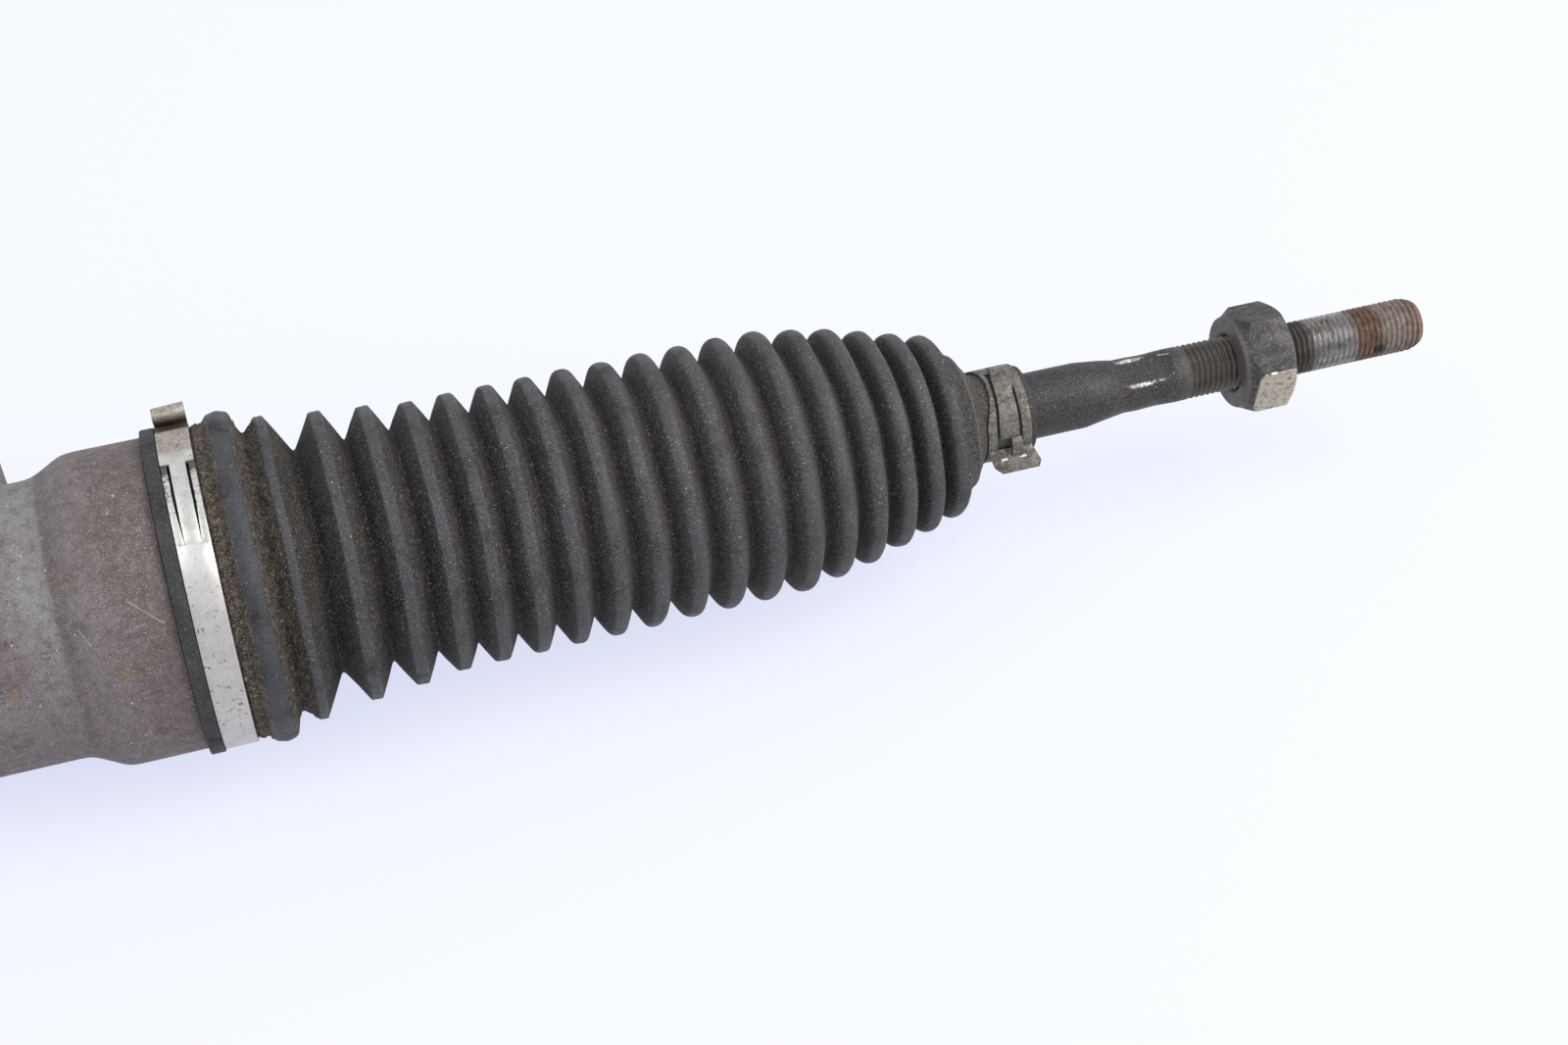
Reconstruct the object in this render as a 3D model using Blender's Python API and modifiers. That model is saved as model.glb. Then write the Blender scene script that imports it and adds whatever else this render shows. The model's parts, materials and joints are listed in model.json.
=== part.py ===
"""A rack-and-pinion steering gear, lying on its mounting lugs.

The rack slides along X, at AXIS_Z above the face that the lugs rest on. +X is the right end, -Y the front.
The pinion stands upright behind the rack and the yoke presses from the front.
Lengths are written in millimetres and turned into metres where a mesh is made.
"""

from math import acos, atan2, cos, pi, radians, sin, sqrt, tan

import bmesh
import bpy
from mathutils import Matrix, Vector

MM = 0.001
GAP = 0.3

# Rack, and where its axis runs
AXIS_Z = 40.5
RACK_R = 13.0
RACK_END = 337.0
TRAVEL = 72.0

# Gearing: a straight-toothed pinion with a profile shift, against a rack cut in the bar's rear side
MODULE = 2.0
TEETH = 8
SHIFT = 0.55
PRESSURE_ANGLE = radians(20)
BACKLASH = 0.3
PINION_X = -150.0
PINION_Y = 17.5
PINION_TIP_R = 10.6
PINION_ROOT_R = 6.7
GEAR_HALF_HEIGHT = 13.0
PITCH_R = MODULE * TEETH / 2
TOOTH_PITCH = pi * MODULE

# Housing
TUBE_R = 27.0
NECK_R = 33.25
CUP_R = 37.55
SPIGOT_R = 35.2
CUP_BORE_R = 28.0
CUP_FLOOR_X = 262.0
CUP_STEP_X = 274.0
CUP_X = 282.0
BOOT_SEAT_X = 300.0
HOUSING_END = 321.0
LUG_X = 245.0
LUG_Y = 56.0
LUG_R = 19.0
LUG_HOLE_R = 13.5
LUG_TOP = 44.0
LUG_BOTTOM = 2.0
FRONT_LUG_X = -40.0
BOLT_HOLE_R = 5.5
TOWER_R = 24.0
TOWER_TOP = 44.0
BEARING_BORE_R = 17.5
BEARING_LOW = 24.0
BEARING_HIGH = 35.0
SHAFT_R = 7.5
SHAFT_TOP = 75.0
YOKE_BORE_R = 16.0
YOKE_BOSS_END = 58.0
BALLS = 8
BALL_R = 2.25

# Inner ball joint and tie rod
BALL_X = 360.0
ROD_BALL_R = 15.0
SEAT_R = 16.6
SEAT_BORE_R = 15.45
CAVITY_R = 17.3
SOCKET_R = 20.5
SOCKET_FACE = 339.1
NECK_ROD_R = 7.0
SHANK_R = 8.45
FLAT_R = 6.85
THREAD_R = 6.9
THREAD_X = 556.5
ROD_END = 623.4
NUT_LOW = 570.3
NUT_HIGH = 584.2
NUT_FLATS = 24.4
NUT_TURN = radians(24)

# Boot and its clamps
LIP_R = 39.2
COLLAR_R = 37.6
BEAD_R = 39.6
FIRST_PLEAT_R = 37.0
PLEAT_R = 32.8
BAND_LOW = 303.6
BAND_HIGH = 311.3
BAND_R = 38.7
CLAMP_LOW = 501.2
CLAMP_HIGH = 512.4
CLAMP_R = 12.0
BOOT_NECK_R = 10.9
BOOT_END = 513.7

# Frames: the local Z axis is the one that a piece is turned about
RIGHT = Matrix.Translation((0, 0, AXIS_Z * MM)) @ Matrix.Rotation(pi / 2, 4, "Y")
LEFT = Matrix.Rotation(pi, 4, "Z") @ RIGHT
PINION = Matrix.Translation(Vector((PINION_X, PINION_Y, AXIS_Z)) * MM)
YOKE = Matrix.Translation(Vector((PINION_X, 0, AXIS_Z)) * MM) @ Matrix.Rotation(pi / 2, 4, "X")
ENDS = (("right", RIGHT), ("left", LEFT))
LUGS = (
    ("right", Matrix.Translation(Vector((LUG_X, LUG_Y, 0)) * MM)),
    ("left", Matrix.Translation(Vector((-LUG_X, LUG_Y, 0)) * MM)),
    ("front", Matrix.Translation(Vector((FRONT_LUG_X, -LUG_Y, 0)) * MM) @ Matrix.Rotation(pi, 4, "Z")),
)


def clear_scene():
    for obj in list(bpy.data.objects):
        bpy.data.objects.remove(obj)


def new_collection(name):
    collection = bpy.data.collections.new(name)
    bpy.context.scene.collection.children.link(collection)
    return collection


def new_material(name, color, roughness, metallic):
    material = bpy.data.materials.new(name)
    material.use_nodes = True
    shader = material.node_tree.nodes["Principled BSDF"]
    shader.inputs["Base Color"].default_value = (*color, 1)
    shader.inputs["Roughness"].default_value = roughness
    shader.inputs["Metallic"].default_value = metallic
    return material


def add_object(name, mesh, frame, material):
    """A visible piece in the gear's collection, with its origin on its frame."""
    obj = bpy.data.objects.new(name, mesh)
    obj.matrix_world = frame
    if material:
        mesh.materials.append(material)
        gear.objects.link(obj)
    else:
        obj.hide_render = True
        obj.display_type = "WIRE"
        cutters.objects.link(obj)
    return obj


def turned(name, outline, frame, material=None, steps=24):
    """A turned piece. The outline is (radius, height) points, upwards on the outer side.

    It either closes on itself, as a ring, or starts and ends on the axis.
    """
    mesh = bpy.data.meshes.new(name)
    points = [(r * MM, 0, z * MM) for r, z in reversed(outline)]
    edges = [(i, i + 1) for i in range(len(points) - 1)]
    if outline[0][0] > 0:
        edges.append((len(points) - 1, 0))
    mesh.from_pydata(points, edges, [])
    obj = add_object(name, mesh, frame, material)
    screw = obj.modifiers.new("turn", "SCREW")
    screw.axis = "Z"
    screw.angle = 2 * pi
    screw.steps = steps
    screw.render_steps = steps
    screw.use_merge_vertices = True
    screw.merge_threshold = 0.00001
    screw.use_smooth_shade = False
    return obj


def prism(name, outline, low, high, frame, material=None):
    """A flat outline in the frame's XY plane, pushed from low to high along its Z axis."""
    mesh = bpy.data.meshes.new(name)
    bm = bmesh.new()
    face = bm.faces.new([bm.verts.new((x * MM, y * MM, low * MM)) for x, y in outline])
    pushed = bmesh.ops.extrude_face_region(bm, geom=[face])
    moved = [v for v in pushed["geom"] if isinstance(v, bmesh.types.BMVert)]
    bmesh.ops.translate(bm, verts=moved, vec=(0, 0, (high - low) * MM))
    bmesh.ops.recalc_face_normals(bm, faces=bm.faces)
    bm.to_mesh(mesh)
    bm.free()
    return add_object(name, mesh, frame, material)


def ball(name, radius, frame, material=None, segments=8, rings=6):
    mesh = bpy.data.meshes.new(name)
    bm = bmesh.new()
    bmesh.ops.create_uvsphere(bm, u_segments=segments, v_segments=rings, radius=radius * MM)
    bm.to_mesh(mesh)
    bm.free()
    return add_object(name, mesh, frame, material)


def join(obj, other, operation="UNION"):
    boolean = obj.modifiers.new(other.name, "BOOLEAN")
    boolean.operation = operation
    boolean.solver = "MANIFOLD"
    boolean.object = other


def cut(obj, other):
    join(obj, other, "DIFFERENCE")


def ring(inner, outer, low, high):
    """The outline of a plain ring."""
    return [(inner, low), (outer, low), (outer, high), (inner, high)]


def disc(radius, low, high):
    return [(0, low), (radius, low), (radius, high), (0, high)]


def circle(radius, count, turn=0.0, centre=(0, 0)):
    step = 2 * pi / count
    angles = [turn + step * i for i in range(count)]
    return [(centre[0] + radius * cos(a), centre[1] + radius * sin(a)) for a in angles]


def arc(radius, start, end, count, centre=0.0):
    """(radius, height) points on a sphere, by the angle from the turning axis."""
    angles = [start + (end - start) * i / (count - 1) for i in range(count)]
    return [(radius * sin(a), centre + radius * cos(a)) for a in angles]


def housing_outline():
    """Outer side of the tube, the same towards both ends."""
    half = [(TUBE_R, 212), (NECK_R, 236), (NECK_R, CUP_STEP_X)]
    for share in (0.3, 0.7, 1.0):
        rise = (1 - cos(pi * share)) / 2
        half.append((NECK_R + (CUP_R - NECK_R) * rise, CUP_STEP_X + (CUP_X - CUP_STEP_X) * share))
    half.append((CUP_R, BOOT_SEAT_X - GAP))
    half.append((SPIGOT_R, BOOT_SEAT_X - GAP))
    half.append((SPIGOT_R, HOUSING_END))
    left = [(r, -z) for r, z in reversed(half)]
    return [(0, -HOUSING_END)] + left + half + [(0, HOUSING_END)]


def rack_bore_outline():
    past = HOUSING_END + 5
    steps = (
        (CUP_BORE_R, -past, -CUP_FLOOR_X),
        (15.0, -CUP_FLOOR_X, -60),
        (20.0, -60, 218),
        (15.5, 218, 222),
        (17.0, 222, CUP_FLOOR_X),
        (CUP_BORE_R, CUP_FLOOR_X, past),
    )
    outline = [(0, -past)]
    for radius, low, high in steps:
        outline += [(radius, low), (radius, high)]
    return outline + [(0, past)]


def pinion_bore_outline():
    steps = ((12.0, -40, -27), (10.0, -27, -15), (12.0, -15, 23.7), (BEARING_BORE_R, 23.7, 50))
    outline = [(0, -40)]
    for radius, low, high in steps:
        outline += [(radius, low), (radius, high)]
    return outline + [(0, 50)]


def lug_outline():
    """A mounting lug seen from above: a round boss that flares where it meets the tube."""
    flare = [(20.5, -10), (22, -17), (25, -23), (29, -28), (29, -40)]
    boss = [(LUG_R * cos(a), LUG_R * sin(a)) for a in [pi * i / 10 for i in range(11)]]
    left = [(-x, y) for x, y in flare]
    return list(reversed(flare)) + boss + left


def make_housing():
    housing = turned("rack_housing", housing_outline(), RIGHT, cast_aluminium)
    for name, frame in LUGS:
        join(housing, prism(f"lug_{name}", lug_outline(), LUG_BOTTOM, LUG_TOP, frame))
    tower = [(0, -33), (17, -33), (17, -20), (TOWER_R, -14), (TOWER_R, TOWER_TOP), (0, TOWER_TOP)]
    join(housing, turned("pinion_tower", tower, PINION))
    boss = [(0, 0), (22, 0), (22, YOKE_BOSS_END - 2), (20.5, YOKE_BOSS_END), (0, YOKE_BOSS_END)]
    join(housing, turned("yoke_boss", boss, YOKE))
    cut(housing, turned("rack_bore", rack_bore_outline(), RIGHT))
    cut(housing, turned("pinion_bore", pinion_bore_outline(), PINION))
    cut(housing, turned("yoke_bore", disc(YOKE_BORE_R, 3, YOKE_BOSS_END + 5), YOKE))
    for name, frame in LUGS:
        cut(housing, turned(f"lug_hole_{name}", disc(LUG_HOLE_R, -5, LUG_TOP + 5), frame, None, 20))


def make_mount_bushes():
    for name, frame in LUGS:
        sleeve = ring(BOLT_HOLE_R, 8.0, 0, LUG_TOP + 2)
        turned(f"mount_sleeve_{name}", sleeve, frame, zinc_steel, 20)
        flange = LUG_HOLE_R + 3
        bush = [
            (8.0 + GAP, 0.7),
            (flange, 0.7),
            (flange, LUG_BOTTOM - GAP),
            (LUG_HOLE_R - GAP, LUG_BOTTOM - GAP),
            (LUG_HOLE_R - GAP, LUG_TOP),
            (8.0 + GAP, LUG_TOP),
        ]
        turned(f"mount_bush_{name}", bush, frame, rubber, 20)


def make_rack():
    outline = disc(RACK_R, -RACK_END, RACK_END)
    rack = turned("rack_bar", outline, RIGHT, ground_steel)
    for name, frame in ENDS:
        cut(rack, turned(f"rack_end_hole_{name}", disc(8.0 + GAP, 311, 350), frame, None, 20))
    cut(rack, prism("tooth_gaps", rack_gap_outline(), -20, 20, Matrix.Translation((0, 0, AXIS_Z * MM))))


def rack_gap_outline():
    """What is cut from the bar's rear: every gap between teeth, and the strip behind the tips."""
    middle = PINION_Y - (PITCH_R + SHIFT * MODULE)
    tip = middle + MODULE
    root = middle - 1.05 * MODULE
    slope = tan(PRESSURE_ANGLE)
    half_gap = TOOTH_PITCH / 4 + BACKLASH / 2
    count = int((TRAVEL + 10) / TOOTH_PITCH)
    first = PINION_X - (count + 0.5) * TOOTH_PITCH
    last = PINION_X + (count + 0.5) * TOOTH_PITCH
    outline = [(first, 20), (first, tip)]
    for i in range(-count, count + 1):
        centre = PINION_X + i * TOOTH_PITCH
        wide = half_gap + (tip - middle) * slope
        narrow = half_gap + (root - middle) * slope
        outline += [(centre - wide, tip), (centre - narrow, root)]
        outline += [(centre + narrow, root), (centre + wide, tip)]
    return outline + [(last, tip), (last, 20)]


def pinion_outline():
    """Involute teeth, with one tooth pointing at the rack."""
    base = PITCH_R * cos(PRESSURE_ANGLE)
    half = (pi / 2 + 2 * SHIFT * tan(PRESSURE_ANGLE)) / TEETH
    start = half + tan(PRESSURE_ANGLE) - PRESSURE_ANGLE
    radii = [base + 0.01 + (PINION_TIP_R - base - 0.01) * i / 3 for i in range(4)]
    flank = [(PINION_ROOT_R, start)]
    for r in radii:
        angle = acos(base / r)
        flank.append((r, start - (tan(angle) - angle)))
    outline = []
    for i in range(TEETH):
        centre = -pi / 2 + 2 * pi * i / TEETH
        side = [(r, centre - a) for r, a in flank]
        side += [(r, centre + a) for r, a in reversed(flank)]
        outline += [(r * cos(a), r * sin(a)) for r, a in side]
    return outline


def serration_outline(tip, root, count):
    outline = []
    for i in range(count):
        angle = 2 * pi * i / count
        quarter = pi / count
        outline.append((tip * cos(angle), tip * sin(angle)))
        outline.append((root * cos(angle + quarter), root * sin(angle + quarter)))
    return outline


def make_pinion():
    shaft = [
        (0, -26.5),
        (6, -26.5),
        (6, -GEAR_HALF_HEIGHT - 1),
        (PINION_ROOT_R - 0.4, -GEAR_HALF_HEIGHT),
        (PINION_ROOT_R - 0.4, GEAR_HALF_HEIGHT + 1),
        (9, GEAR_HALF_HEIGHT + 3),
        (9, BEARING_LOW - GAP),
        (SHAFT_R, BEARING_LOW - GAP),
        (SHAFT_R, 54),
        (6.6, 55),
        (6.6, 58),
        (0, 58),
    ]
    pinion = turned("pinion_shaft", shaft, PINION, ground_steel, 20)
    height = GEAR_HALF_HEIGHT
    join(pinion, prism("pinion_teeth", pinion_outline(), -height, height, PINION))
    join(pinion, prism("pinion_serrations", serration_outline(8, 7.2, 18), 57, SHAFT_TOP, PINION))


def make_pinion_bearings():
    turned("pinion_bearing_outer_ring", ring(15, 17.2, BEARING_LOW, BEARING_HIGH), PINION, ground_steel)
    turned("pinion_bearing_inner_ring", ring(7.8, 9.9, BEARING_LOW, BEARING_HIGH), PINION, ground_steel)
    middle = (BEARING_LOW + BEARING_HIGH) / 2
    pitch = (9.9 + 15) / 2
    for i, (x, y) in enumerate(circle(pitch, BALLS)):
        frame = PINION @ Matrix.Translation(Vector((x, y, middle)) * MM)
        ball(f"pinion_bearing_ball_{i + 1}", BALL_R, frame, ground_steel)
    cage = ring(11.4, 13.5, middle + BALL_R + GAP, middle + BALL_R + 1.5)
    turned("pinion_bearing_cage", cage, PINION, black_plastic)
    turned("pinion_needle_bearing", ring(6 + GAP, 10 - GAP, -25.5, -15.5), PINION, ground_steel, 20)
    turned("pinion_snap_ring", ring(7.8, 9.6, 35.3, 36.5), PINION, ground_steel, 20)
    lock = [(10.4, 35.4), (17.2, 35.4), (17.2, 42.5), (16.5, 43.2), (10.4, 43.2)]
    turned("pinion_lock_ring", lock, PINION, zinc_steel)
    turned("pinion_oil_seal", ring(7.8, 10.1, 37.2, 42.6), PINION, rubber, 20)
    cover = [
        (17.6, 44.3),
        (22.5, 44.3),
        (22.5, 46.5),
        (11, 52.5),
        (8.2, 52.5),
        (8.2, 51),
        (17.6, 46.5),
    ]
    turned("pinion_dust_cover", cover, PINION, rubber)
    turned("pinion_bottom_plug", disc(11.7, -32, -27.3), PINION, zinc_steel, 20)


def make_yoke():
    saddle = turned("yoke_saddle_cut", disc(14.4, -30, 30), RIGHT @ Matrix.Translation((0, 0, PINION_X * MM)), None, 32)
    block = [(0, 6), (YOKE_BORE_R - GAP, 6), (YOKE_BORE_R - GAP, 31), (0, 31)]
    yoke = turned("yoke", block, YOKE, bare_aluminium)
    cut(yoke, saddle)
    cut(yoke, turned("yoke_spring_pocket", disc(10.5, 24, 40), YOKE, None, 24))
    liner = []
    spread = radians(48)
    for radius, sign in ((13.3, 1), (14.1, -1)):
        for i in range(9):
            angle = sign * spread * (i / 4 - 1)
            liner.append((radius * sin(angle), -radius * cos(angle)))
    turn = Matrix.Translation(Vector((PINION_X, 0, AXIS_Z)) * MM) @ Matrix.Rotation(pi / 2, 4, "Y")
    prism("yoke_liner", liner, -11, 11, turn, black_plastic)
    plug = [
        (0, 41),
        (15.6, 41),
        (15.6, 44),
        (13.9, 44),
        (13.9, 46.5),
        (15.6, 46.5),
        (15.6, 66),
        (14.6, 67),
        (0, 67),
    ]
    yoke_plug = turned("yoke_plug", plug, YOKE, zinc_steel)
    cut(yoke_plug, prism("yoke_plug_hex", circle(8.1, 6), 58, 70, YOKE))
    seal = ring(14.3, 15.6, 44.4, 46.1)
    turned("yoke_plug_seal", seal, YOKE, rubber)
    nut = prism("yoke_lock_nut", circle(23, 6, pi / 6), YOKE_BOSS_END + GAP, 64.5, YOKE, zinc_steel)
    cut(nut, turned("yoke_nut_bore", disc(15.9, 55, 70), YOKE))


def make_yoke_spring():
    """A coil between the yoke's pocket and the plug, along the yoke's axis."""
    turns = 3.5
    per_turn = 11
    radius = 8.0
    wire = 1.4
    low = 24 + wire + GAP
    high = 41 - wire - GAP
    curve = bpy.data.curves.new("yoke_spring", "CURVE")
    curve.dimensions = "3D"
    curve.bevel_depth = wire * MM
    curve.bevel_resolution = 1
    curve.use_fill_caps = True
    spline = curve.splines.new("POLY")
    count = int(turns * per_turn)
    spline.points.add(count)
    for i, point in enumerate(spline.points):
        angle = 2 * pi * i / per_turn
        height = low + (high - low) * i / count
        point.co = (radius * MM * cos(angle), radius * MM * sin(angle), height * MM, 1)
    curve.materials.append(zinc_steel)
    obj = bpy.data.objects.new("yoke_spring", curve)
    obj.matrix_world = YOKE
    gear.objects.link(obj)


def make_rack_supports():
    turned("rack_bush", ring(RACK_R + GAP, 17 - GAP, 224, 252), RIGHT, black_plastic)
    for name, frame in ENDS:
        stop = ring(14.5, CUP_BORE_R - GAP, CUP_FLOOR_X + GAP, CUP_FLOOR_X + 3)
        turned(f"rack_stop_ring_{name}", stop, frame, rubber)


def make_ball_joint(name, frame):
    """Socket on the rack's end, with its lock washer, and the cup that the rod's ball turns in."""
    turned(f"lock_washer_{name}", ring(8.0 + GAP, 17, RACK_END + GAP, RACK_END + 1.8), frame, zinc_steel, 24)
    cavity = arc(CAVITY_R, radians(58), pi, 7, BALL_X)
    outer = [(0, 312), (8, 312), (8, SOCKET_FACE), (16, SOCKET_FACE), (SOCKET_R, SOCKET_FACE + 4)]
    outer += [(SOCKET_R, BALL_X + 6), (16.5, BALL_X + 12)]
    turned(f"tie_rod_socket_{name}", outer + cavity[:-1] + [(0, BALL_X - CAVITY_R)], frame, black_steel, 20)
    seat = arc(SEAT_BORE_R, radians(80), radians(165), 7)
    seat += arc(SEAT_R, radians(165), radians(80), 7)
    centre = frame @ Matrix.Translation((0, 0, BALL_X * MM))
    turned(f"ball_seat_{name}", seat, centre, black_plastic, 20)


def make_tie_rod(name, frame):
    """Ball, shank and threaded end. The shank narrows to the wrench flats before the thread."""
    centre = frame @ Matrix.Translation((0, 0, BALL_X * MM))
    reach = sqrt(ROD_BALL_R**2 - NECK_ROD_R**2)
    head = arc(ROD_BALL_R, pi, atan2(NECK_ROD_R, reach), 7)
    rod = [(0, -ROD_BALL_R)] + head[1:]
    rod += [(NECK_ROD_R, 24), (SHANK_R, 32), (SHANK_R, 530 - BALL_X), (FLAT_R, 539 - BALL_X)]
    rod += [(FLAT_R, 555 - BALL_X), (THREAD_R, THREAD_X - BALL_X), (THREAD_R, ROD_END - 2 - BALL_X)]
    rod += [(THREAD_R - 1.6, ROD_END - BALL_X), (0, ROD_END - BALL_X)]
    turned(f"tie_rod_{name}", rod, centre, black_steel, 20)
    corner = NUT_FLATS / 2 / cos(pi / 6)
    hexagon = circle(corner, 6, NUT_TURN)
    nut = prism(f"jam_nut_{name}", hexagon, NUT_LOW, NUT_HIGH, frame, black_steel)
    cut(nut, turned(f"jam_nut_bore_{name}", disc(THREAD_R + GAP, NUT_LOW - 5, NUT_HIGH + 5), frame, None, 20))
    chamfer = [
        (NUT_FLATS / 2 - 0.4, NUT_LOW - 1),
        (20, NUT_LOW - 1),
        (20, NUT_HIGH + 1),
        (NUT_FLATS / 2 - 0.4, NUT_HIGH + 1),
        (NUT_FLATS / 2 - 0.4, NUT_HIGH),
        (corner + 0.5, NUT_HIGH - 1.3),
        (corner + 0.5, NUT_LOW + 3.0),
        (NUT_FLATS / 2 - 0.4, NUT_LOW),
    ]
    cut(nut, turned(f"jam_nut_chamfer_{name}", chamfer, frame, None, 18))


def boot_outline():
    """The bellows as a plain sleeve: collar and bead on the housing, body, and neck on the rod."""
    outer = [
        (LIP_R, BOOT_SEAT_X),
        (LIP_R, BAND_LOW - GAP),
        (COLLAR_R, BAND_LOW - GAP),
        (COLLAR_R, BAND_HIGH + GAP),
        (BEAD_R, 316.5),
        (BEAD_R, 320),
        (35, 322.5),
        (FIRST_PLEAT_R, 327.5),
        (PLEAT_R + 0.6, 362),
        (PLEAT_R, 449),
        (27.2, 474.6),
        (22.9, 490),
        (BOOT_NECK_R, 498.8),
        (BOOT_NECK_R, BOOT_END),
    ]
    bore = [
        (SHANK_R + 0.4, BOOT_END),
        (SHANK_R + 0.4, 500),
        (17, 487),
        (21.5, 474),
        (26, 449),
        (26, 335),
        (30, 323),
        (SPIGOT_R + GAP, HOUSING_END + GAP),
        (SPIGOT_R + GAP, BOOT_SEAT_X),
    ]
    return outer + bore


def make_boot(name, frame):
    turned(f"boot_{name}", boot_outline(), frame, rubber)
    band = turned(f"boot_band_{name}", ring(COLLAR_R + GAP, BAND_R, BAND_LOW, BAND_HIGH), frame, band_steel, 24)
    ear = Matrix.Rotation(radians(135), 4, "Z")
    loop = [(BAND_R - 0.5, -4.5), (BAND_R + 3.5, -4.5), (BAND_R + 3.5, 4.5), (BAND_R - 0.5, 4.5)]
    join(band, prism(f"band_ear_{name}", loop, BAND_LOW + 0.4, BAND_HIGH - 0.4, frame @ ear))
    clamp = turned(
        f"boot_clamp_{name}", ring(BOOT_NECK_R + GAP, CLAMP_R, CLAMP_LOW, CLAMP_HIGH), frame, band_steel, 20
    )
    tab = Matrix.Rotation(radians(-45), 4, "Z")
    tongue = [(CLAMP_R - 0.5, -0.6), (CLAMP_R + 3.4, -0.6), (CLAMP_R + 3.4, 0.6), (CLAMP_R - 0.5, 0.6)]
    join(clamp, prism(f"clamp_tab_{name}", tongue, CLAMP_LOW + 0.3, CLAMP_HIGH - 0.3, frame @ tab))


clear_scene()
gear = new_collection("rack_and_pinion")
cutters = new_collection("cutters")
cast_aluminium = new_material("cast_aluminium", (0.30, 0.28, 0.27), 0.6, 0.6)
bare_aluminium = new_material("bare_aluminium", (0.60, 0.60, 0.61), 0.4, 1.0)
ground_steel = new_material("ground_steel", (0.55, 0.55, 0.56), 0.25, 1.0)
black_steel = new_material("black_steel", (0.09, 0.09, 0.09), 0.5, 0.8)
zinc_steel = new_material("zinc_steel", (0.45, 0.45, 0.43), 0.4, 1.0)
band_steel = new_material("band_steel", (0.55, 0.54, 0.52), 0.35, 1.0)
rubber = new_material("rubber", (0.03, 0.03, 0.033), 0.7, 0.0)
black_plastic = new_material("black_plastic", (0.05, 0.05, 0.05), 0.5, 0.0)

make_housing()
make_mount_bushes()
make_rack()
make_pinion()
make_pinion_bearings()
make_yoke()
make_yoke_spring()
make_rack_supports()
for end_name, end_frame in ENDS:
    make_ball_joint(end_name, end_frame)
    make_tie_rod(end_name, end_frame)
    make_boot(end_name, end_frame)
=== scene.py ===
"""The looks of a rack-and-pinion steering gear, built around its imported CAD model.

Lengths are in millimetres until a mesh is made. A round piece is described by its place along the
rack's axis, its radius, and its angle about the axis, which runs from the front (0) over the top (90).
The right-hand end is modelled, and the left-hand end is the same, turned half round about Z.
"""

import json
from math import atan2, cos, exp, hypot, pi, radians, sin, sqrt, tan
from random import Random

import bmesh
import bpy
from mathutils import Matrix, Vector, noise

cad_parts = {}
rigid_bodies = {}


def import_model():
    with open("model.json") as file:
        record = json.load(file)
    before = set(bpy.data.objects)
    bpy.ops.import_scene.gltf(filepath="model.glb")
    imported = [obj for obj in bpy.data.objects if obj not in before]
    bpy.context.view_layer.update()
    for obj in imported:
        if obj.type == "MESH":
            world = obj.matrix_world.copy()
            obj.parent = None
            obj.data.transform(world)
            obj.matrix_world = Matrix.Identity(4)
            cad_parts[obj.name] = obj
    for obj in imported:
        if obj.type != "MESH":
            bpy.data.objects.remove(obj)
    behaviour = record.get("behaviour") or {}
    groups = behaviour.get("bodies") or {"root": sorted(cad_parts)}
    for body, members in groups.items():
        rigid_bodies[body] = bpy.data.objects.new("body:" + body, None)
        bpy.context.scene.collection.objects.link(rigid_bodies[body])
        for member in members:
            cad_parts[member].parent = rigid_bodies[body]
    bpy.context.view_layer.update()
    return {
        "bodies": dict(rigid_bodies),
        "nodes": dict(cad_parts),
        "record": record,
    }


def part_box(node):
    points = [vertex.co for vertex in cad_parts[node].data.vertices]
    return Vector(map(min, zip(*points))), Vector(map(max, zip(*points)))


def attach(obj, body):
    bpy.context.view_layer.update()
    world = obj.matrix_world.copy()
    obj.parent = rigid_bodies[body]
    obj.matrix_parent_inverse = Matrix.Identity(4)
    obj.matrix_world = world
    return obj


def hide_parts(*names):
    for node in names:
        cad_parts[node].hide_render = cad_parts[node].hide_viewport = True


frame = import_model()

MM = 0.001
STILL = Matrix.Identity(4)
SIDES = (("right", STILL), ("left", Matrix.Rotation(pi, 4, "Z")))


def span(node, axis="x"):
    """A CAD node's lowest and highest place along one axis, in millimetres."""
    low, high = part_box(node)
    return getattr(low, axis) / MM, getattr(high, axis) / MM


# Places that the CAD model settles
AXIS_Z = sum(span("rack_bar", "z")) / 2
BOOT_START, BOOT_END = span("boot_right")
BAND_LOW, BAND_HIGH = span("boot_band_right")
CLAMP_LOW, CLAMP_HIGH = span("boot_clamp_right")
NUT_LOW, NUT_HIGH = span("jam_nut_right")
ROD_END = span("tie_rod_right")[1]
HOUSING_END = span("rack_housing")[1]
PINION_X = sum(span("pinion_bottom_plug")) / 2
PINION_Y = sum(span("pinion_bottom_plug", "y")) / 2
LUGS = [(name, sum(span(f"mount_sleeve_{name}")) / 2, sum(span(f"mount_sleeve_{name}", "y")) / 2)
        for name in ("right", "left", "front")]

# Places that the photo settles: the boot's thick bead, and two flats for a spanner, milled on the rod
BEAD_X = 318.3
THREAD_START = 556.5
FLAT_LOW, FLAT_HIGH = 536.0, 554.0
FLAT_REACH, FLAT_ANGLE = 5.8, 74


# Shapes

def limited(value):
    """The value, kept between 0 and 1."""
    return min(1.0, max(0.0, value))


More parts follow.
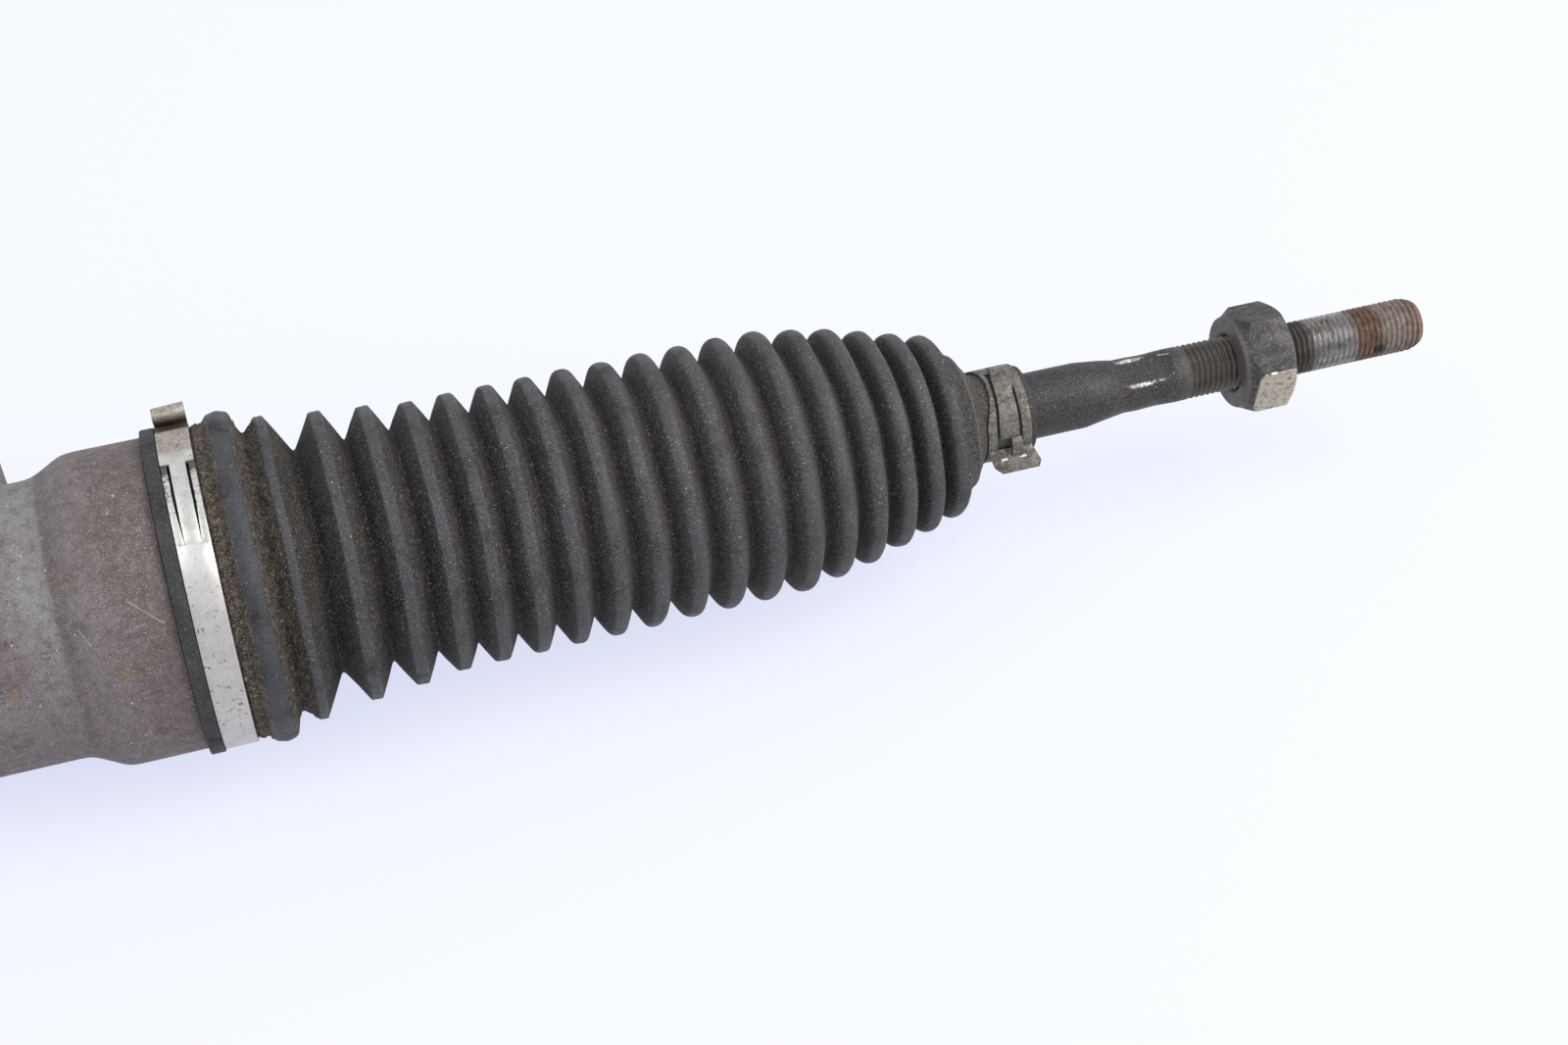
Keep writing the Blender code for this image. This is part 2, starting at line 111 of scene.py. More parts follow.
def rounded(corners, steps=4):
    """A smooth polyline: each corner is (x, y, radius) and turns into a short curve."""
    points = []
    for i, (x, y, radius) in enumerate(corners):
        corner = Vector((x, y))
        if radius == 0 or i in (0, len(corners) - 1):
            points.append(corner)
            continue
        back = Vector(corners[i - 1][:2]) - corner
        on = Vector(corners[i + 1][:2]) - corner
        reach = radius / tan(max(back.angle(on), 0.2) / 2)
        reach = min(reach, 0.48 * back.length, 0.48 * on.length)
        start = corner + back.normalized() * reach
        end = corner + on.normalized() * reach
        for k in range(steps + 1):
            t = k / steps
            points.append(start * (1 - t) ** 2 + corner * 2 * t * (1 - t) + end * t * t)
    return [tuple(point) for point in points]


def finer(points, longest):
    """The same polyline of (x, y), with no stretch over the given length."""
    result = [points[0]]
    for (x0, y0), (x1, y1) in zip(points, points[1:]):
        count = max(1, int(hypot(x1 - x0, y1 - y0) / longest) + 1)
        result += [(x0 + (x1 - x0) * i / count, y0 + (y1 - y0) * i / count) for i in range(1, count + 1)]
    return result


def hexagon(corner, turn=0.0):
    """The six corners of a nut or a socket, from its largest radius."""
    return [(corner * cos(turn + pi / 3 * i), corner * sin(turn + pi / 3 * i)) for i in range(6)]


def at(x, radius, angle):
    """A point from its place along the rack's axis, radius and angle, in metres."""
    return Vector((x, -radius * cos(angle), AXIS_Z + radius * sin(angle))) * MM


def new_object(name, data):
    obj = bpy.data.objects.new(name, data)
    bpy.context.scene.collection.objects.link(obj)
    return obj


def from_bmesh(name, bm):
    """An object whose mesh is a bmesh, which is used up."""
    mesh = bpy.data.meshes.new(name)
    bm.to_mesh(mesh)
    bm.free()
    return new_object(name, mesh)


def lathe(name, profile, segments=144, closed=False, reshape=None):
    """A turned piece from (x, radius) points along the rack's axis.

    The profile ends on the axis at both ends, or is closed. reshape(x, radius, angle) moves its points.
    """
    verts = []
    for x, radius in profile:
        for j in range(segments):
            angle = 2 * pi * j / segments
            px, pr = reshape(x, radius, angle) if reshape else (x, radius)
            verts.append(at(px, pr, angle))
    faces = []
    count = len(profile)
    for i in range(count if closed else count - 1):
        row, following = i * segments, (i + 1) % count * segments
        for j in range(segments):
            k = (j + 1) % segments
            faces.append((row + j, row + k, following + k, following + j))
    mesh = bpy.data.meshes.new(name)
    mesh.from_pydata(verts, [], faces)
    clean(mesh)
    return new_object(name, mesh)


def clean(mesh, merge=0.000001):
    """Merges what coincides, and turns every face outwards."""
    bm = bmesh.new()
    bm.from_mesh(mesh)
    bmesh.ops.remove_doubles(bm, verts=bm.verts, dist=merge)
    bmesh.ops.recalc_face_normals(bm, faces=bm.faces)
    bm.to_mesh(mesh)
    bm.free()


def prism(name, outline, low, high, matrix=STILL):
    """A flat outline (x, y), pushed from low to high along Z, then placed."""
    bm = bmesh.new()
    face = bm.faces.new([bm.verts.new((x * MM, y * MM, low * MM)) for x, y in outline])
    pushed = bmesh.ops.extrude_face_region(bm, geom=[face])
    moved = [v for v in pushed["geom"] if isinstance(v, bmesh.types.BMVert)]
    bmesh.ops.translate(bm, verts=moved, vec=(0, 0, (high - low) * MM))
    bmesh.ops.recalc_face_normals(bm, faces=bm.faces)
    obj = from_bmesh(name, bm)
    obj.data.transform(matrix)
    return obj


def upright(name, profile, x, y, segments=96, closed=False):
    """A turned piece that stands on an axis parallel to Z at (x, y), from (z, radius) points."""
    obj = lathe(name, profile, segments, closed)
    turn = Matrix.Rotation(-pi / 2, 4, "Y") @ Matrix.Translation((0, 0, -AXIS_Z * MM))
    obj.data.transform(Matrix.Translation((x * MM, y * MM, 0)) @ turn)
    return obj


def forward(name, profile, segments=96):
    """A turned piece on the yoke's axis, from (distance in front of the rack's axis, radius) points."""
    obj = lathe(name, profile, segments)
    turn = Matrix.Rotation(-pi / 2, 4, "Z") @ Matrix.Translation((0, 0, -AXIS_Z * MM))
    obj.data.transform(Matrix.Translation((PINION_X * MM, 0, AXIS_Z * MM)) @ turn)
    return obj


def ring(low, high, inner, outer, chamfer=0.4):
    """The closed profile of a ring with small chamfers on its outer edges."""
    return [
        (low, inner), (low, outer - chamfer), (low + chamfer, outer),
        (high - chamfer, outer), (high, outer - chamfer), (high, inner),
    ]


def solid(low, high, radius):
    """The profile of a plain round bar, from axis to axis."""
    return [(low, 0)] + ring(low, high, 0, radius, 0)[1:-1] + [(high, 0)]


def strap(name, path, low, high, thick, wide=None):
    """A flat strip of metal that follows a path of (angle, radius), between two places along the axis.

    wide(share) may give the strip's own (low, high) along its length.
    """
    points = [Vector((-r * cos(a), r * sin(a))) for a, r in path]
    closed = (points[0] - points[-1]).length < 0.001
    if closed:
        points.pop()
    bm = bmesh.new()
    rows = []
    count = len(points)
    for i, point in enumerate(points):
        before = points[i - 1] if closed or i > 0 else point
        after = points[(i + 1) % count] if closed or i < count - 1 else point
        along = (after - before).normalized()
        out = Vector((-along.y, along.x)) * thick / 2
        x0, x1 = wide(i / (count - 1)) if wide else (low, high)
        places = [(x0, point - out), (x1, point - out), (x1, point + out), (x0, point + out)]
        rows.append([bm.verts.new(Vector((x, p.x, AXIS_Z + p.y)) * MM) for x, p in places])
    for i in range(count if closed else count - 1):
        a, b = rows[i], rows[(i + 1) % count]
        for k in range(4):
            bm.faces.new((a[k], a[(k + 1) % 4], b[(k + 1) % 4], b[k]))
    if not closed:
        bm.faces.new(rows[0])
        bm.faces.new(rows[-1])
    bmesh.ops.recalc_face_normals(bm, faces=bm.faces)
    return from_bmesh(name, bm)


def arc_path(start, end, radius, step=3):
    """Points of a strap's path along an arc, by angles in degrees."""
    count = max(2, int(abs(end - start) / step) + 1)
    return [(radians(start + (end - start) * i / (count - 1)), radius) for i in range(count)]


def combine(obj, other, operation, solver="EXACT"):
    """One object cut by, joined to or kept within another, which is used up."""
    boolean = obj.modifiers.new(operation, "BOOLEAN")
    boolean.operation = operation
    boolean.solver = solver
    boolean.object = other
    bake(obj)
    bpy.data.objects.remove(other)


def bake(obj):
    """Replaces an object's mesh by the mesh that its modifiers make."""
    graph = bpy.context.evaluated_depsgraph_get()
    mesh = bpy.data.meshes.new_from_object(obj.evaluated_get(graph))
    obj.modifiers.clear()
    obj.data = mesh


def merge(name, parts):
    """One object that holds all the parts' faces."""
    bm = bmesh.new()
    for part in parts:
        bm.from_mesh(part.data)
        bpy.data.objects.remove(part)
    return from_bmesh(name, bm)


def bevel(obj, width, segments=2, limit=50):
    """Small rounds on the edges that are sharper than the limit, in degrees."""
    modifier = obj.modifiers.new("edges", "BEVEL")
    modifier.width = width * MM
    modifier.segments = segments
    modifier.limit_method = "ANGLE"
    modifier.angle_limit = radians(limit)
    bake(obj)


def finish_piece(obj, body, slot, nodes=(), turn=STILL, angle=30, material=None):
    """Shades a piece, gives it its material, puts it on its body, and hides the CAD nodes that it stands for.
    """
    obj.data.transform(turn)
    obj.data.shade_smooth()
    obj.data.set_sharp_from_angle(angle=radians(angle))
    obj.data.materials.clear()
    obj.data.materials.append(material or MATERIALS[slot])
    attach(obj, body)
    if nodes:
        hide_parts(*nodes)


# Materials

def srgb(red, green, blue):
    """A colour from 0 to 255 as the linear values that shaders take."""
    shares = (red / 255, green / 255, blue / 255)
    return (*[c / 12.92 if c <= 10 / 255 else ((c + 0.055) / 1.055) ** 2.4 for c in shares], 1)


def feed(tree, socket, value):
    """Links a node's output to a socket, or sets it. Three numbers for a colour are from 0 to 255."""
    if isinstance(value, bpy.types.NodeSocket):
        tree.links.new(value, socket)
    elif socket.type == "RGBA" and len(value) == 3:
        socket.default_value = srgb(*value)
    else:
        socket.default_value = value


def add_node(tree, kind, output, inputs=(), **settings):
    """Adds a node, feeds its inputs by name or number, and returns one of its outputs."""
    node = tree.nodes.new(kind)
    for key, value in settings.items():
        setattr(node, key, value)
    for key, value in dict(inputs).items():
        feed(tree, node.inputs[key], value)
    return node.outputs[output]


class Paint:
    """A material in the making. Most methods add a node and return what it gives."""

    def __init__(self, name, color, roughness, metallic=0.0, place=None):
        self.material = bpy.data.materials.new(name)
        self.material.use_nodes = True
        self.tree = self.material.node_tree
        self.relief = None
        self.base(color)
        self.set("Roughness", roughness)
        self.set("Metallic", metallic)
        if place:
            self.place = self.attribute(place, "Vector")
        else:
            self.place = self.add("ShaderNodeTexCoord", "Object")

    def add(self, kind, output, inputs=(), **settings):
        return add_node(self.tree, kind, output, inputs, **settings)

    def set(self, name, value):
        feed(self.tree, self.tree.nodes["Principled BSDF"].inputs[name], value)

    def base(self, color):
        self.color = color
        self.set("Base Color", color)

    def over(self, color, *shares):
        """Lays a colour over what is there, as far as the product of the shares says."""
        self.base(self.blend(self.times(*shares), self.color, color))

    def speckle(self, color, strength, *facts):
        """Lays blots of a colour over what is there. The facts are those of blots()."""
        self.over(color, self.blots(*facts), strength)

    def attribute(self, name, output="Fac"):
        return self.add("ShaderNodeAttribute", output, attribute_name=name)

    def grain(self, size, detail, rough, stretch=(1, 1, 1)):
        """Noise whose blots are about size millimetres across."""
        inputs = {"Vector": self.scaled(stretch), "Scale": 1 / (size * MM),
                  "Detail": detail, "Roughness": rough}
        return self.add("ShaderNodeTexNoise", "Fac", inputs)

    def blots(self, size, detail, rough, low, high):
        """Blots of noise: 0 where the noise is below low, 1 where it is above high."""
        return self.step(self.grain(size, detail, rough), low, high)

    def ragged(self, value, amount, *facts):
        """A measure with noise added to it, so that what it bounds has a ragged edge."""
        return self.plus(value, self.times(self.grain(*facts), amount))

    def dots(self, size, wide, narrow, rare, sure):
        """Round dots in some of the cells of a size: those whose own number is above rare."""
        inputs = {"Vector": self.place, "Scale": 1 / (size * MM)}
        distance = self.add("ShaderNodeTexVoronoi", "Distance", inputs)
        number = self.add("ShaderNodeTexVoronoi", "Color", inputs)
        return self.times(self.step(distance, wide, narrow), self.step(number, rare, sure))

    def scaled(self, stretch):
        if stretch == (1, 1, 1):
            return self.place
        return self.vector("MULTIPLY", self.place, stretch, "Vector")

    def vector(self, operation, a, b, output="Value"):
        return self.add("ShaderNodeVectorMath", output, {0: a, 1: b}, operation=operation)

    def math(self, operation, a, b=0.0):
        return self.add("ShaderNodeMath", "Value", {0: a, 1: b}, operation=operation)

    def plus(self, a, b):
        return self.math("ADD", a, b)

    def times(self, *values):
        """The product of several shares."""
        product = values[0]
        for value in values[1:]:
            product = self.math("MULTIPLY", product, value)
        return product

    def largest(self, *values):
        result = values[0]
        for value in values[1:]:
            result = self.math("MAXIMUM", result, value)
        return result

    def apart(self, a, b):
        """How far two numbers are apart."""
        return self.math("ABSOLUTE", self.math("SUBTRACT", a, b))

    def step(self, value, low, high):
        """0 below low, 1 above high, and smooth between them. High may be the lower of the two."""
        falls = high < low
        inputs = {"Value": value, "From Min": min(low, high), "From Max": max(low, high),
                  "To Min": float(falls), "To Max": float(not falls)}
        return self.add("ShaderNodeMapRange", "Result", inputs, interpolation_type="SMOOTHSTEP")

    def within(self, value, low, full, last, high):
        """1 from full to last, falling smoothly to 0 at low and at high."""
        return self.times(self.step(value, low, full), self.step(value, high, last))

    def level(self, share, first, second):
        """A number from first to second, as the share goes from 0 to 1."""
        return self.add("ShaderNodeMapRange", "Result", {"Value": share, "To Min": first, "To Max": second})

    def blend(self, share, first, second):
        """The same for two colours, which are the node's inputs 6 and 7 and its output 2."""
        return self.add("ShaderNodeMix", 2, {"Factor": share, 6: first, 7: second}, data_type="RGBA")

    def along(self, axis):
        return self.add("ShaderNodeSeparateXYZ", axis, {"Vector": self.place})

    def end_distance(self):
        """How far out along the rack's axis a point is, in millimetres, the same on both ends."""
        return self.times(self.math("ABSOLUTE", self.along("X")), 1 / MM)

    def plane(self, direction, offset):
        """Signed distance from a plane, in millimetres."""
        return self.plus(self.times(self.vector("DOT_PRODUCT", self.place, direction), 1 / MM), -offset)

    def beyond(self, angle):
        """How far a point reaches from the rack's axis towards an angle in degrees, in millimetres."""
        towards = (0, -cos(radians(angle)), sin(radians(angle)))
        return self.plane(towards, AXIS_Z * towards[2])

    def radius(self):
        """Distance from the rack's axis, in millimetres."""
        y, z = self.along("Y"), self.plus(self.along("Z"), -AXIS_Z * MM)
        return self.times(self.math("SQRT", self.plus(self.times(y, y), self.times(z, z))), 1 / MM)

    def spot(self, x, radius, angle, stretch=1.0):
        """Distance in millimetres from a point of a round surface. Stretch lengthens the spot in X."""
        centre = at(x, radius, radians(angle))
        middle = (centre.x / stretch, centre.y, centre.z)
        return self.times(self.vector("DISTANCE", self.scaled((1 / stretch, 1, 1)), middle), 1 / MM)

    def scratch(self, start, end, width):
        """1 along a straight scratch between two points (x, radius, angle) of a round surface, else 0."""
        start, end = (at(x, radius, radians(angle)) for x, radius, angle in (start, end))
        middle = (start + end) / 2
        outward = Vector((0, middle.y, middle.z - AXIS_Z * MM))
        normal = (end - start).cross(outward).normalized()
        away = self.math("ABSOLUTE", self.plane(tuple(normal), middle.dot(normal) / MM))
        near = self.vector("DISTANCE", self.place, tuple(middle))
        reach = (end - start).length / 2
        return self.times(self.step(away, width, width * 0.3), self.step(near, reach, reach * 0.9))

    def bump(self, height, depth):
        """Relief, depth millimetres from height 0 to height 1, on top of the relief so far."""
        inputs = {"Strength": 1.0, "Distance": depth * MM, "Height": height}
        if self.relief:
            inputs["Normal"] = self.relief
        self.relief = self.add("ShaderNodeBump", "Normal", inputs)
        self.set("Normal", self.relief)


def cast_aluminium():
    """Sand-cast tube: bluish grey neck, mauve-brown wide end, speckled, with stains, a seam and a scratch,
    and a painted highlight and painted shade at the step.
    """
    paint = Paint("cast_aluminium", (106, 99, 98), 0.64, 0.15)
    out = paint.end_distance()
    wander = paint.ragged(out, 30, 20, 4, 0.6)
    wide_end = paint.times(paint.step(wander, 288, 310), 0.95)
    patches = paint.times(paint.blots(30, 5, 0.65, 0.45, 0.60), 0.65)
    underside = paint.times(paint.step(paint.beyond(-90), -16, 22), 0.85)
    paint.base(paint.blend(paint.largest(wide_end, patches, underside), (112, 105, 107), (90, 77, 75)))
    # Painted highlight: a pale band on the upper side of the neck, just before the step
    ridge_highlight = paint.times(paint.step(wander, 280, 286), paint.step(out, 275.5, 274.0))
    paint.over((140, 142, 140), ridge_highlight, paint.step(paint.beyond(75), 20, 30), 0.35)
    # Painted shade: a darker band over the foot of the step
    paint.over((72, 64, 62), paint.within(out, 274.2, 275.6, 276.6, 278.6), 0.45)
    pale = paint.blots(2.4, 5, 0.75, 0.46, 0.70)
    paint.over((138, 132, 130), pale, 0.34)
    paint.speckle((66, 59, 57), 0.6, 3.2, 5, 0.75, 0.48, 0.68)
    for x, radius, angle, size in ((287.2, 37.5, 22.6, 5), (276.6, 35.5, 13.9, 4), (279.6, 37, -1, 5),
                                   (277.8, 36, 57, 3.5), (262.0, 33, 20.0, 4)):
        reach = paint.ragged(paint.spot(x, radius, angle), size, 1.6, 4, 0.7)
        paint.over((128, 98, 56), paint.step(reach, size, size * 0.45), 0.65)
    paint.speckle((166, 160, 154), 0.5, 0.36, 2, 0.6, 0.54, 0.68)
    paint.speckle((54, 48, 46), 0.62, 0.5, 2, 0.6, 0.57, 0.69)
    paint.over((206, 200, 192), paint.dots(2.3, 0.12, 0.07, 0.72, 0.75), 0.8)
    seam = paint.step(paint.math("ABSOLUTE", paint.beyond(124)), 0.5, 0.15)
    line = paint.times(seam, paint.step(paint.beyond(34), 10, 20), paint.blots(4, 3, 0.6, 0.35, 0.6))
    paint.over((74, 68, 66), line, 0.3)
    scratches = (((290.3, 37.5, 47.3), (297.8, 37.5, 36.4)), ((279.0, 37.0, 41), (281.2, 37.5, 34)),
                 ((291.0, 37.5, 37.5), (293.5, 37.5, 38.0)), ((231.0, 31.5, 96), (243.0, 33.0, 82)))
    marks = paint.largest(*[paint.scratch(start, end, 0.24) for start, end in scratches])
    paint.over((184, 176, 166), marks, 0.36)
    paint.set("Roughness", paint.level(pale, 0.7, 0.56))
    paint.bump(paint.grain(3.5, 4, 0.6), 0.20)
    paint.bump(paint.grain(0.7, 3, 0.6), 0.11)
    paint.bump(paint.math("SUBTRACT", marks, line), 0.08)
    return paint.material


def machined(name, color, roughness, metallic=1.0, stain=None):
    """Bare or plated metal with fine tool marks, smudges and a little staining."""
    paint = Paint(name, color, roughness, metallic)
    smudge = paint.grain(9, 4, 0.6)
    darker = (*[c * 0.72 for c in srgb(*color)[:3]], 1)
    paint.over(darker, paint.step(smudge, 0.35, 0.7))
    if stain:
        paint.speckle(stain, 0.6, 4, 4, 0.65, 0.58, 0.72)
    paint.set("Roughness", paint.level(smudge, roughness * 0.75, roughness * 1.4))
    paint.bump(paint.grain(0.8, 2, 0.5), 0.02)
    return paint.material


def plain_rubber(name, color, roughness=0.62):
    """Moulded rubber or plastic: fine pores and a film of dust."""
    paint = Paint(name, color, roughness)
    dust = paint.blots(12, 5, 0.65, 0.45, 0.75)
    speck = paint.blots(0.6, 2, 0.5, 0.62, 0.7)
    paint.over((120, 108, 92), paint.plus(paint.times(dust, 0.16), paint.times(speck, 0.22)))
    paint.set("Roughness", paint.level(dust, roughness * 0.9, roughness * 1.25))
    paint.bump(paint.grain(0.5, 3, 0.6), 0.05)
    return paint.material


def boot_rubber():
    """Weathered bellows: blue-grey crests, darker flanks full of fine sand, and soil packed at the bead."""
    paint = Paint("boot_rubber", (42, 40, 39), 0.75, 0.0, "rest")
    paint.set("Specular IOR Level", 0.3)
    out = paint.end_distance()
    crest = paint.attribute("crest")
    along = paint.step(out, 330, 470)
    worn = paint.times(crest, paint.blots(8, 4, 0.6, 0.22, 0.55))
    flanks = paint.blend(along, (23, 21, 22), (46, 44, 45))
    crests = paint.blend(along, (54, 57, 62), (60, 61, 65))
    paint.base(paint.blend(worn, flanks, crests))
    paint.over((34, 33, 33), paint.step(out, 489, 493))
    paint.over((56, 53, 52), paint.step(out, 496.4, 497.4))
    paint.speckle((84, 76, 70), 0.16, 11, 5, 0.65, 0.42, 0.66)
    uneven = paint.level(paint.grain(5, 4, 0.65), 0.15, 0.75)
    # Dust, and painted light, on the flanks that face the small end
    paint.over((62, 56, 53), paint.attribute("dust_and_light"), paint.level(along, 0.45, 1.0), uneven)
    # Sand clings to the pleats, and hardly to the lip, the bead and the last of the neck
    bare = paint.within(out, BEAD_X + 1, BEAD_X + 5, 511.8, 512.8)
    sand = paint.times(paint.level(crest, 1.0, 0.65), paint.level(bare, 0.4, 1.0))
    for color, strength, size, low, high in (((110, 105, 100), 0.50, 0.30, 0.52, 0.62),
                                             ((128, 121, 112), 0.55, 0.48, 0.60, 0.68),
                                             ((146, 136, 120), 0.50, 0.85, 0.69, 0.73)):
        paint.over(color, paint.blots(size, 1, 0.5, low, high), sand, strength)
    paint.speckle((22, 20, 20), 0.5, 0.45, 2, 0.5, 0.56, 0.66)
    paint.over((188, 180, 164), paint.dots(1.5, 0.13, 0.07, 0.70, 0.73), paint.level(bare, 0.5, 1.0), 0.8)
    packed = paint.step(paint.ragged(paint.attribute("dirt"), 1.1, 1.5, 5, 0.75), 0.95, 1.30)
    soil = paint.blend(paint.blots(2.2, 4, 0.7, 0.40, 0.66), (46, 41, 37), (88, 79, 70))
    soil = paint.blend(paint.times(paint.blots(0.5, 2, 0.6, 0.50, 0.64), 0.8), soil, (126, 116, 101))
    soil = paint.blend(paint.times(paint.blots(0.4, 2, 0.6, 0.54, 0.66), 0.7), soil, (32, 28, 25))
    paint.over(soil, packed)
    mould_line = paint.within(out, 495.9, 496.2, 496.6, 496.9)
    paint.over((116, 106, 92), mould_line, 0.4)
    paint.set("Roughness", paint.level(worn, 0.86, 0.56))
    paint.bump(paint.grain(0.45, 2, 0.6), 0.08)
    paint.bump(paint.grain(2.6, 3, 0.6), 0.14)
    paint.bump(paint.times(packed, paint.grain(1.1, 5, 0.75)), 0.7)
    return paint.material


def sandy_grit():
    paint = Paint("sandy_grit", (62, 56, 50), 0.9)
    paint.set("Specular IOR Level", 0.3)
    paint.over((120, 109, 94), paint.blots(1.1, 2, 0.5, 0.35, 0.65))
    paint.bump(paint.grain(0.3, 2, 0.6), 0.04)
    return paint.material


def band_steel():
    """Satin stainless strip: clean in front, dirty brown where it overlaps, soil beside the raised tongue."""
    paint = Paint("band_steel", (220, 218, 213), 0.34, 0.85)
    paint.over((196, 192, 186), paint.blots(7, 5, 0.7, 0.40, 0.66))
    low = paint.step(paint.beyond(-40), -8, 24)
    paint.over((170, 163, 158), low, 0.6)
    paint.speckle((138, 128, 118), 0.35, 0.6, 3, 0.7, 0.56, 0.68)
    crowded = paint.plus(paint.grain(1.5, 4, 0.7), paint.times(low, 0.045))
    paint.over((72, 62, 54), paint.step(crowded, 0.63, 0.69), 0.75)
    # Soil and stains over the top: reach grows towards the ear
    reach = paint.beyond(120)
    offset = paint.apart(paint.end_distance(), (BAND_LOW + BAND_HIGH) / 2)
    beside = paint.step(offset, 1.72, 1.88)
    patchy = paint.blots(1.5, 4, 0.7, 0.50, 0.62)
    grimy = paint.times(beside, patchy, paint.within(reach, 22, 31, 34.2, 34.8))
    paint.over((104, 88, 74), grimy, 0.75)
    caked = paint.times(beside, paint.step(offset, 3.0, 2.3), paint.blots(2.2, 3, 0.6, 0.46, 0.56),
                        paint.within(reach, 26.5, 28.5, 33.0, 34.0))
    paint.over((84, 70, 58), caked, 0.85)
    overlap = paint.step(reach, 36.1, 37.1)
    brown = paint.blend(paint.blots(0.8, 4, 0.7, 0.44, 0.60), (168, 155, 142), (112, 97, 84))
    paint.over(brown, overlap, paint.level(patchy, 0.65, 0.9))
    edge = paint.step(paint.ragged(reach, 2.4, 1.1, 3, 0.6), 34.0, 34.6)
    notch = paint.times(beside, edge, paint.step(reach, 34.85, 34.7))
    paint.over((74, 62, 52), notch, 0.85)
    # The shade under the ear's curl, and a golden rim on it
    back, top = paint.beyond(34), paint.beyond(124)
    paint.over((46, 38, 30), paint.step(back, 5.0, 3.6), paint.within(top, 38.0, 38.7, 39.7, 40.4), 0.9)
    paint.over((150, 126, 78), paint.step(back, 6.5, 5.0), paint.within(top, 39.9, 40.4, 40.8, 42.0), 0.45)
    dirty = paint.largest(overlap, grimy, notch, caked)
    paint.set("Roughness", paint.level(dirty, 0.33, 0.66))
    paint.bump(paint.grain(0.35, 2, 0.6, (1, 0.06, 0.06)), 0.012)
    paint.bump(paint.times(dirty, paint.grain(0.9, 3, 0.7)), 0.12)
    return paint.material


def clamp_steel():
    """Spring steel gone dull and grey-brown, speckled with dust."""
    paint = Paint("clamp_steel", (106, 103, 97), 0.56, 0.45)
    cloud = paint.blots(3.5, 5, 0.7, 0.36, 0.66)
    paint.over((78, 71, 64), cloud)
    paint.speckle((142, 138, 130), 0.5, 0.9, 4, 0.7, 0.46, 0.62)
    paint.speckle((178, 172, 160), 0.55, 0.45, 2, 0.6, 0.60, 0.70)
    paint.speckle((52, 45, 38), 0.6, 0.8, 3, 0.6, 0.60, 0.70)
    paint.set("Roughness", paint.level(cloud, 0.50, 0.70))
    paint.bump(paint.grain(0.7, 3, 0.6), 0.07)
    return paint.material


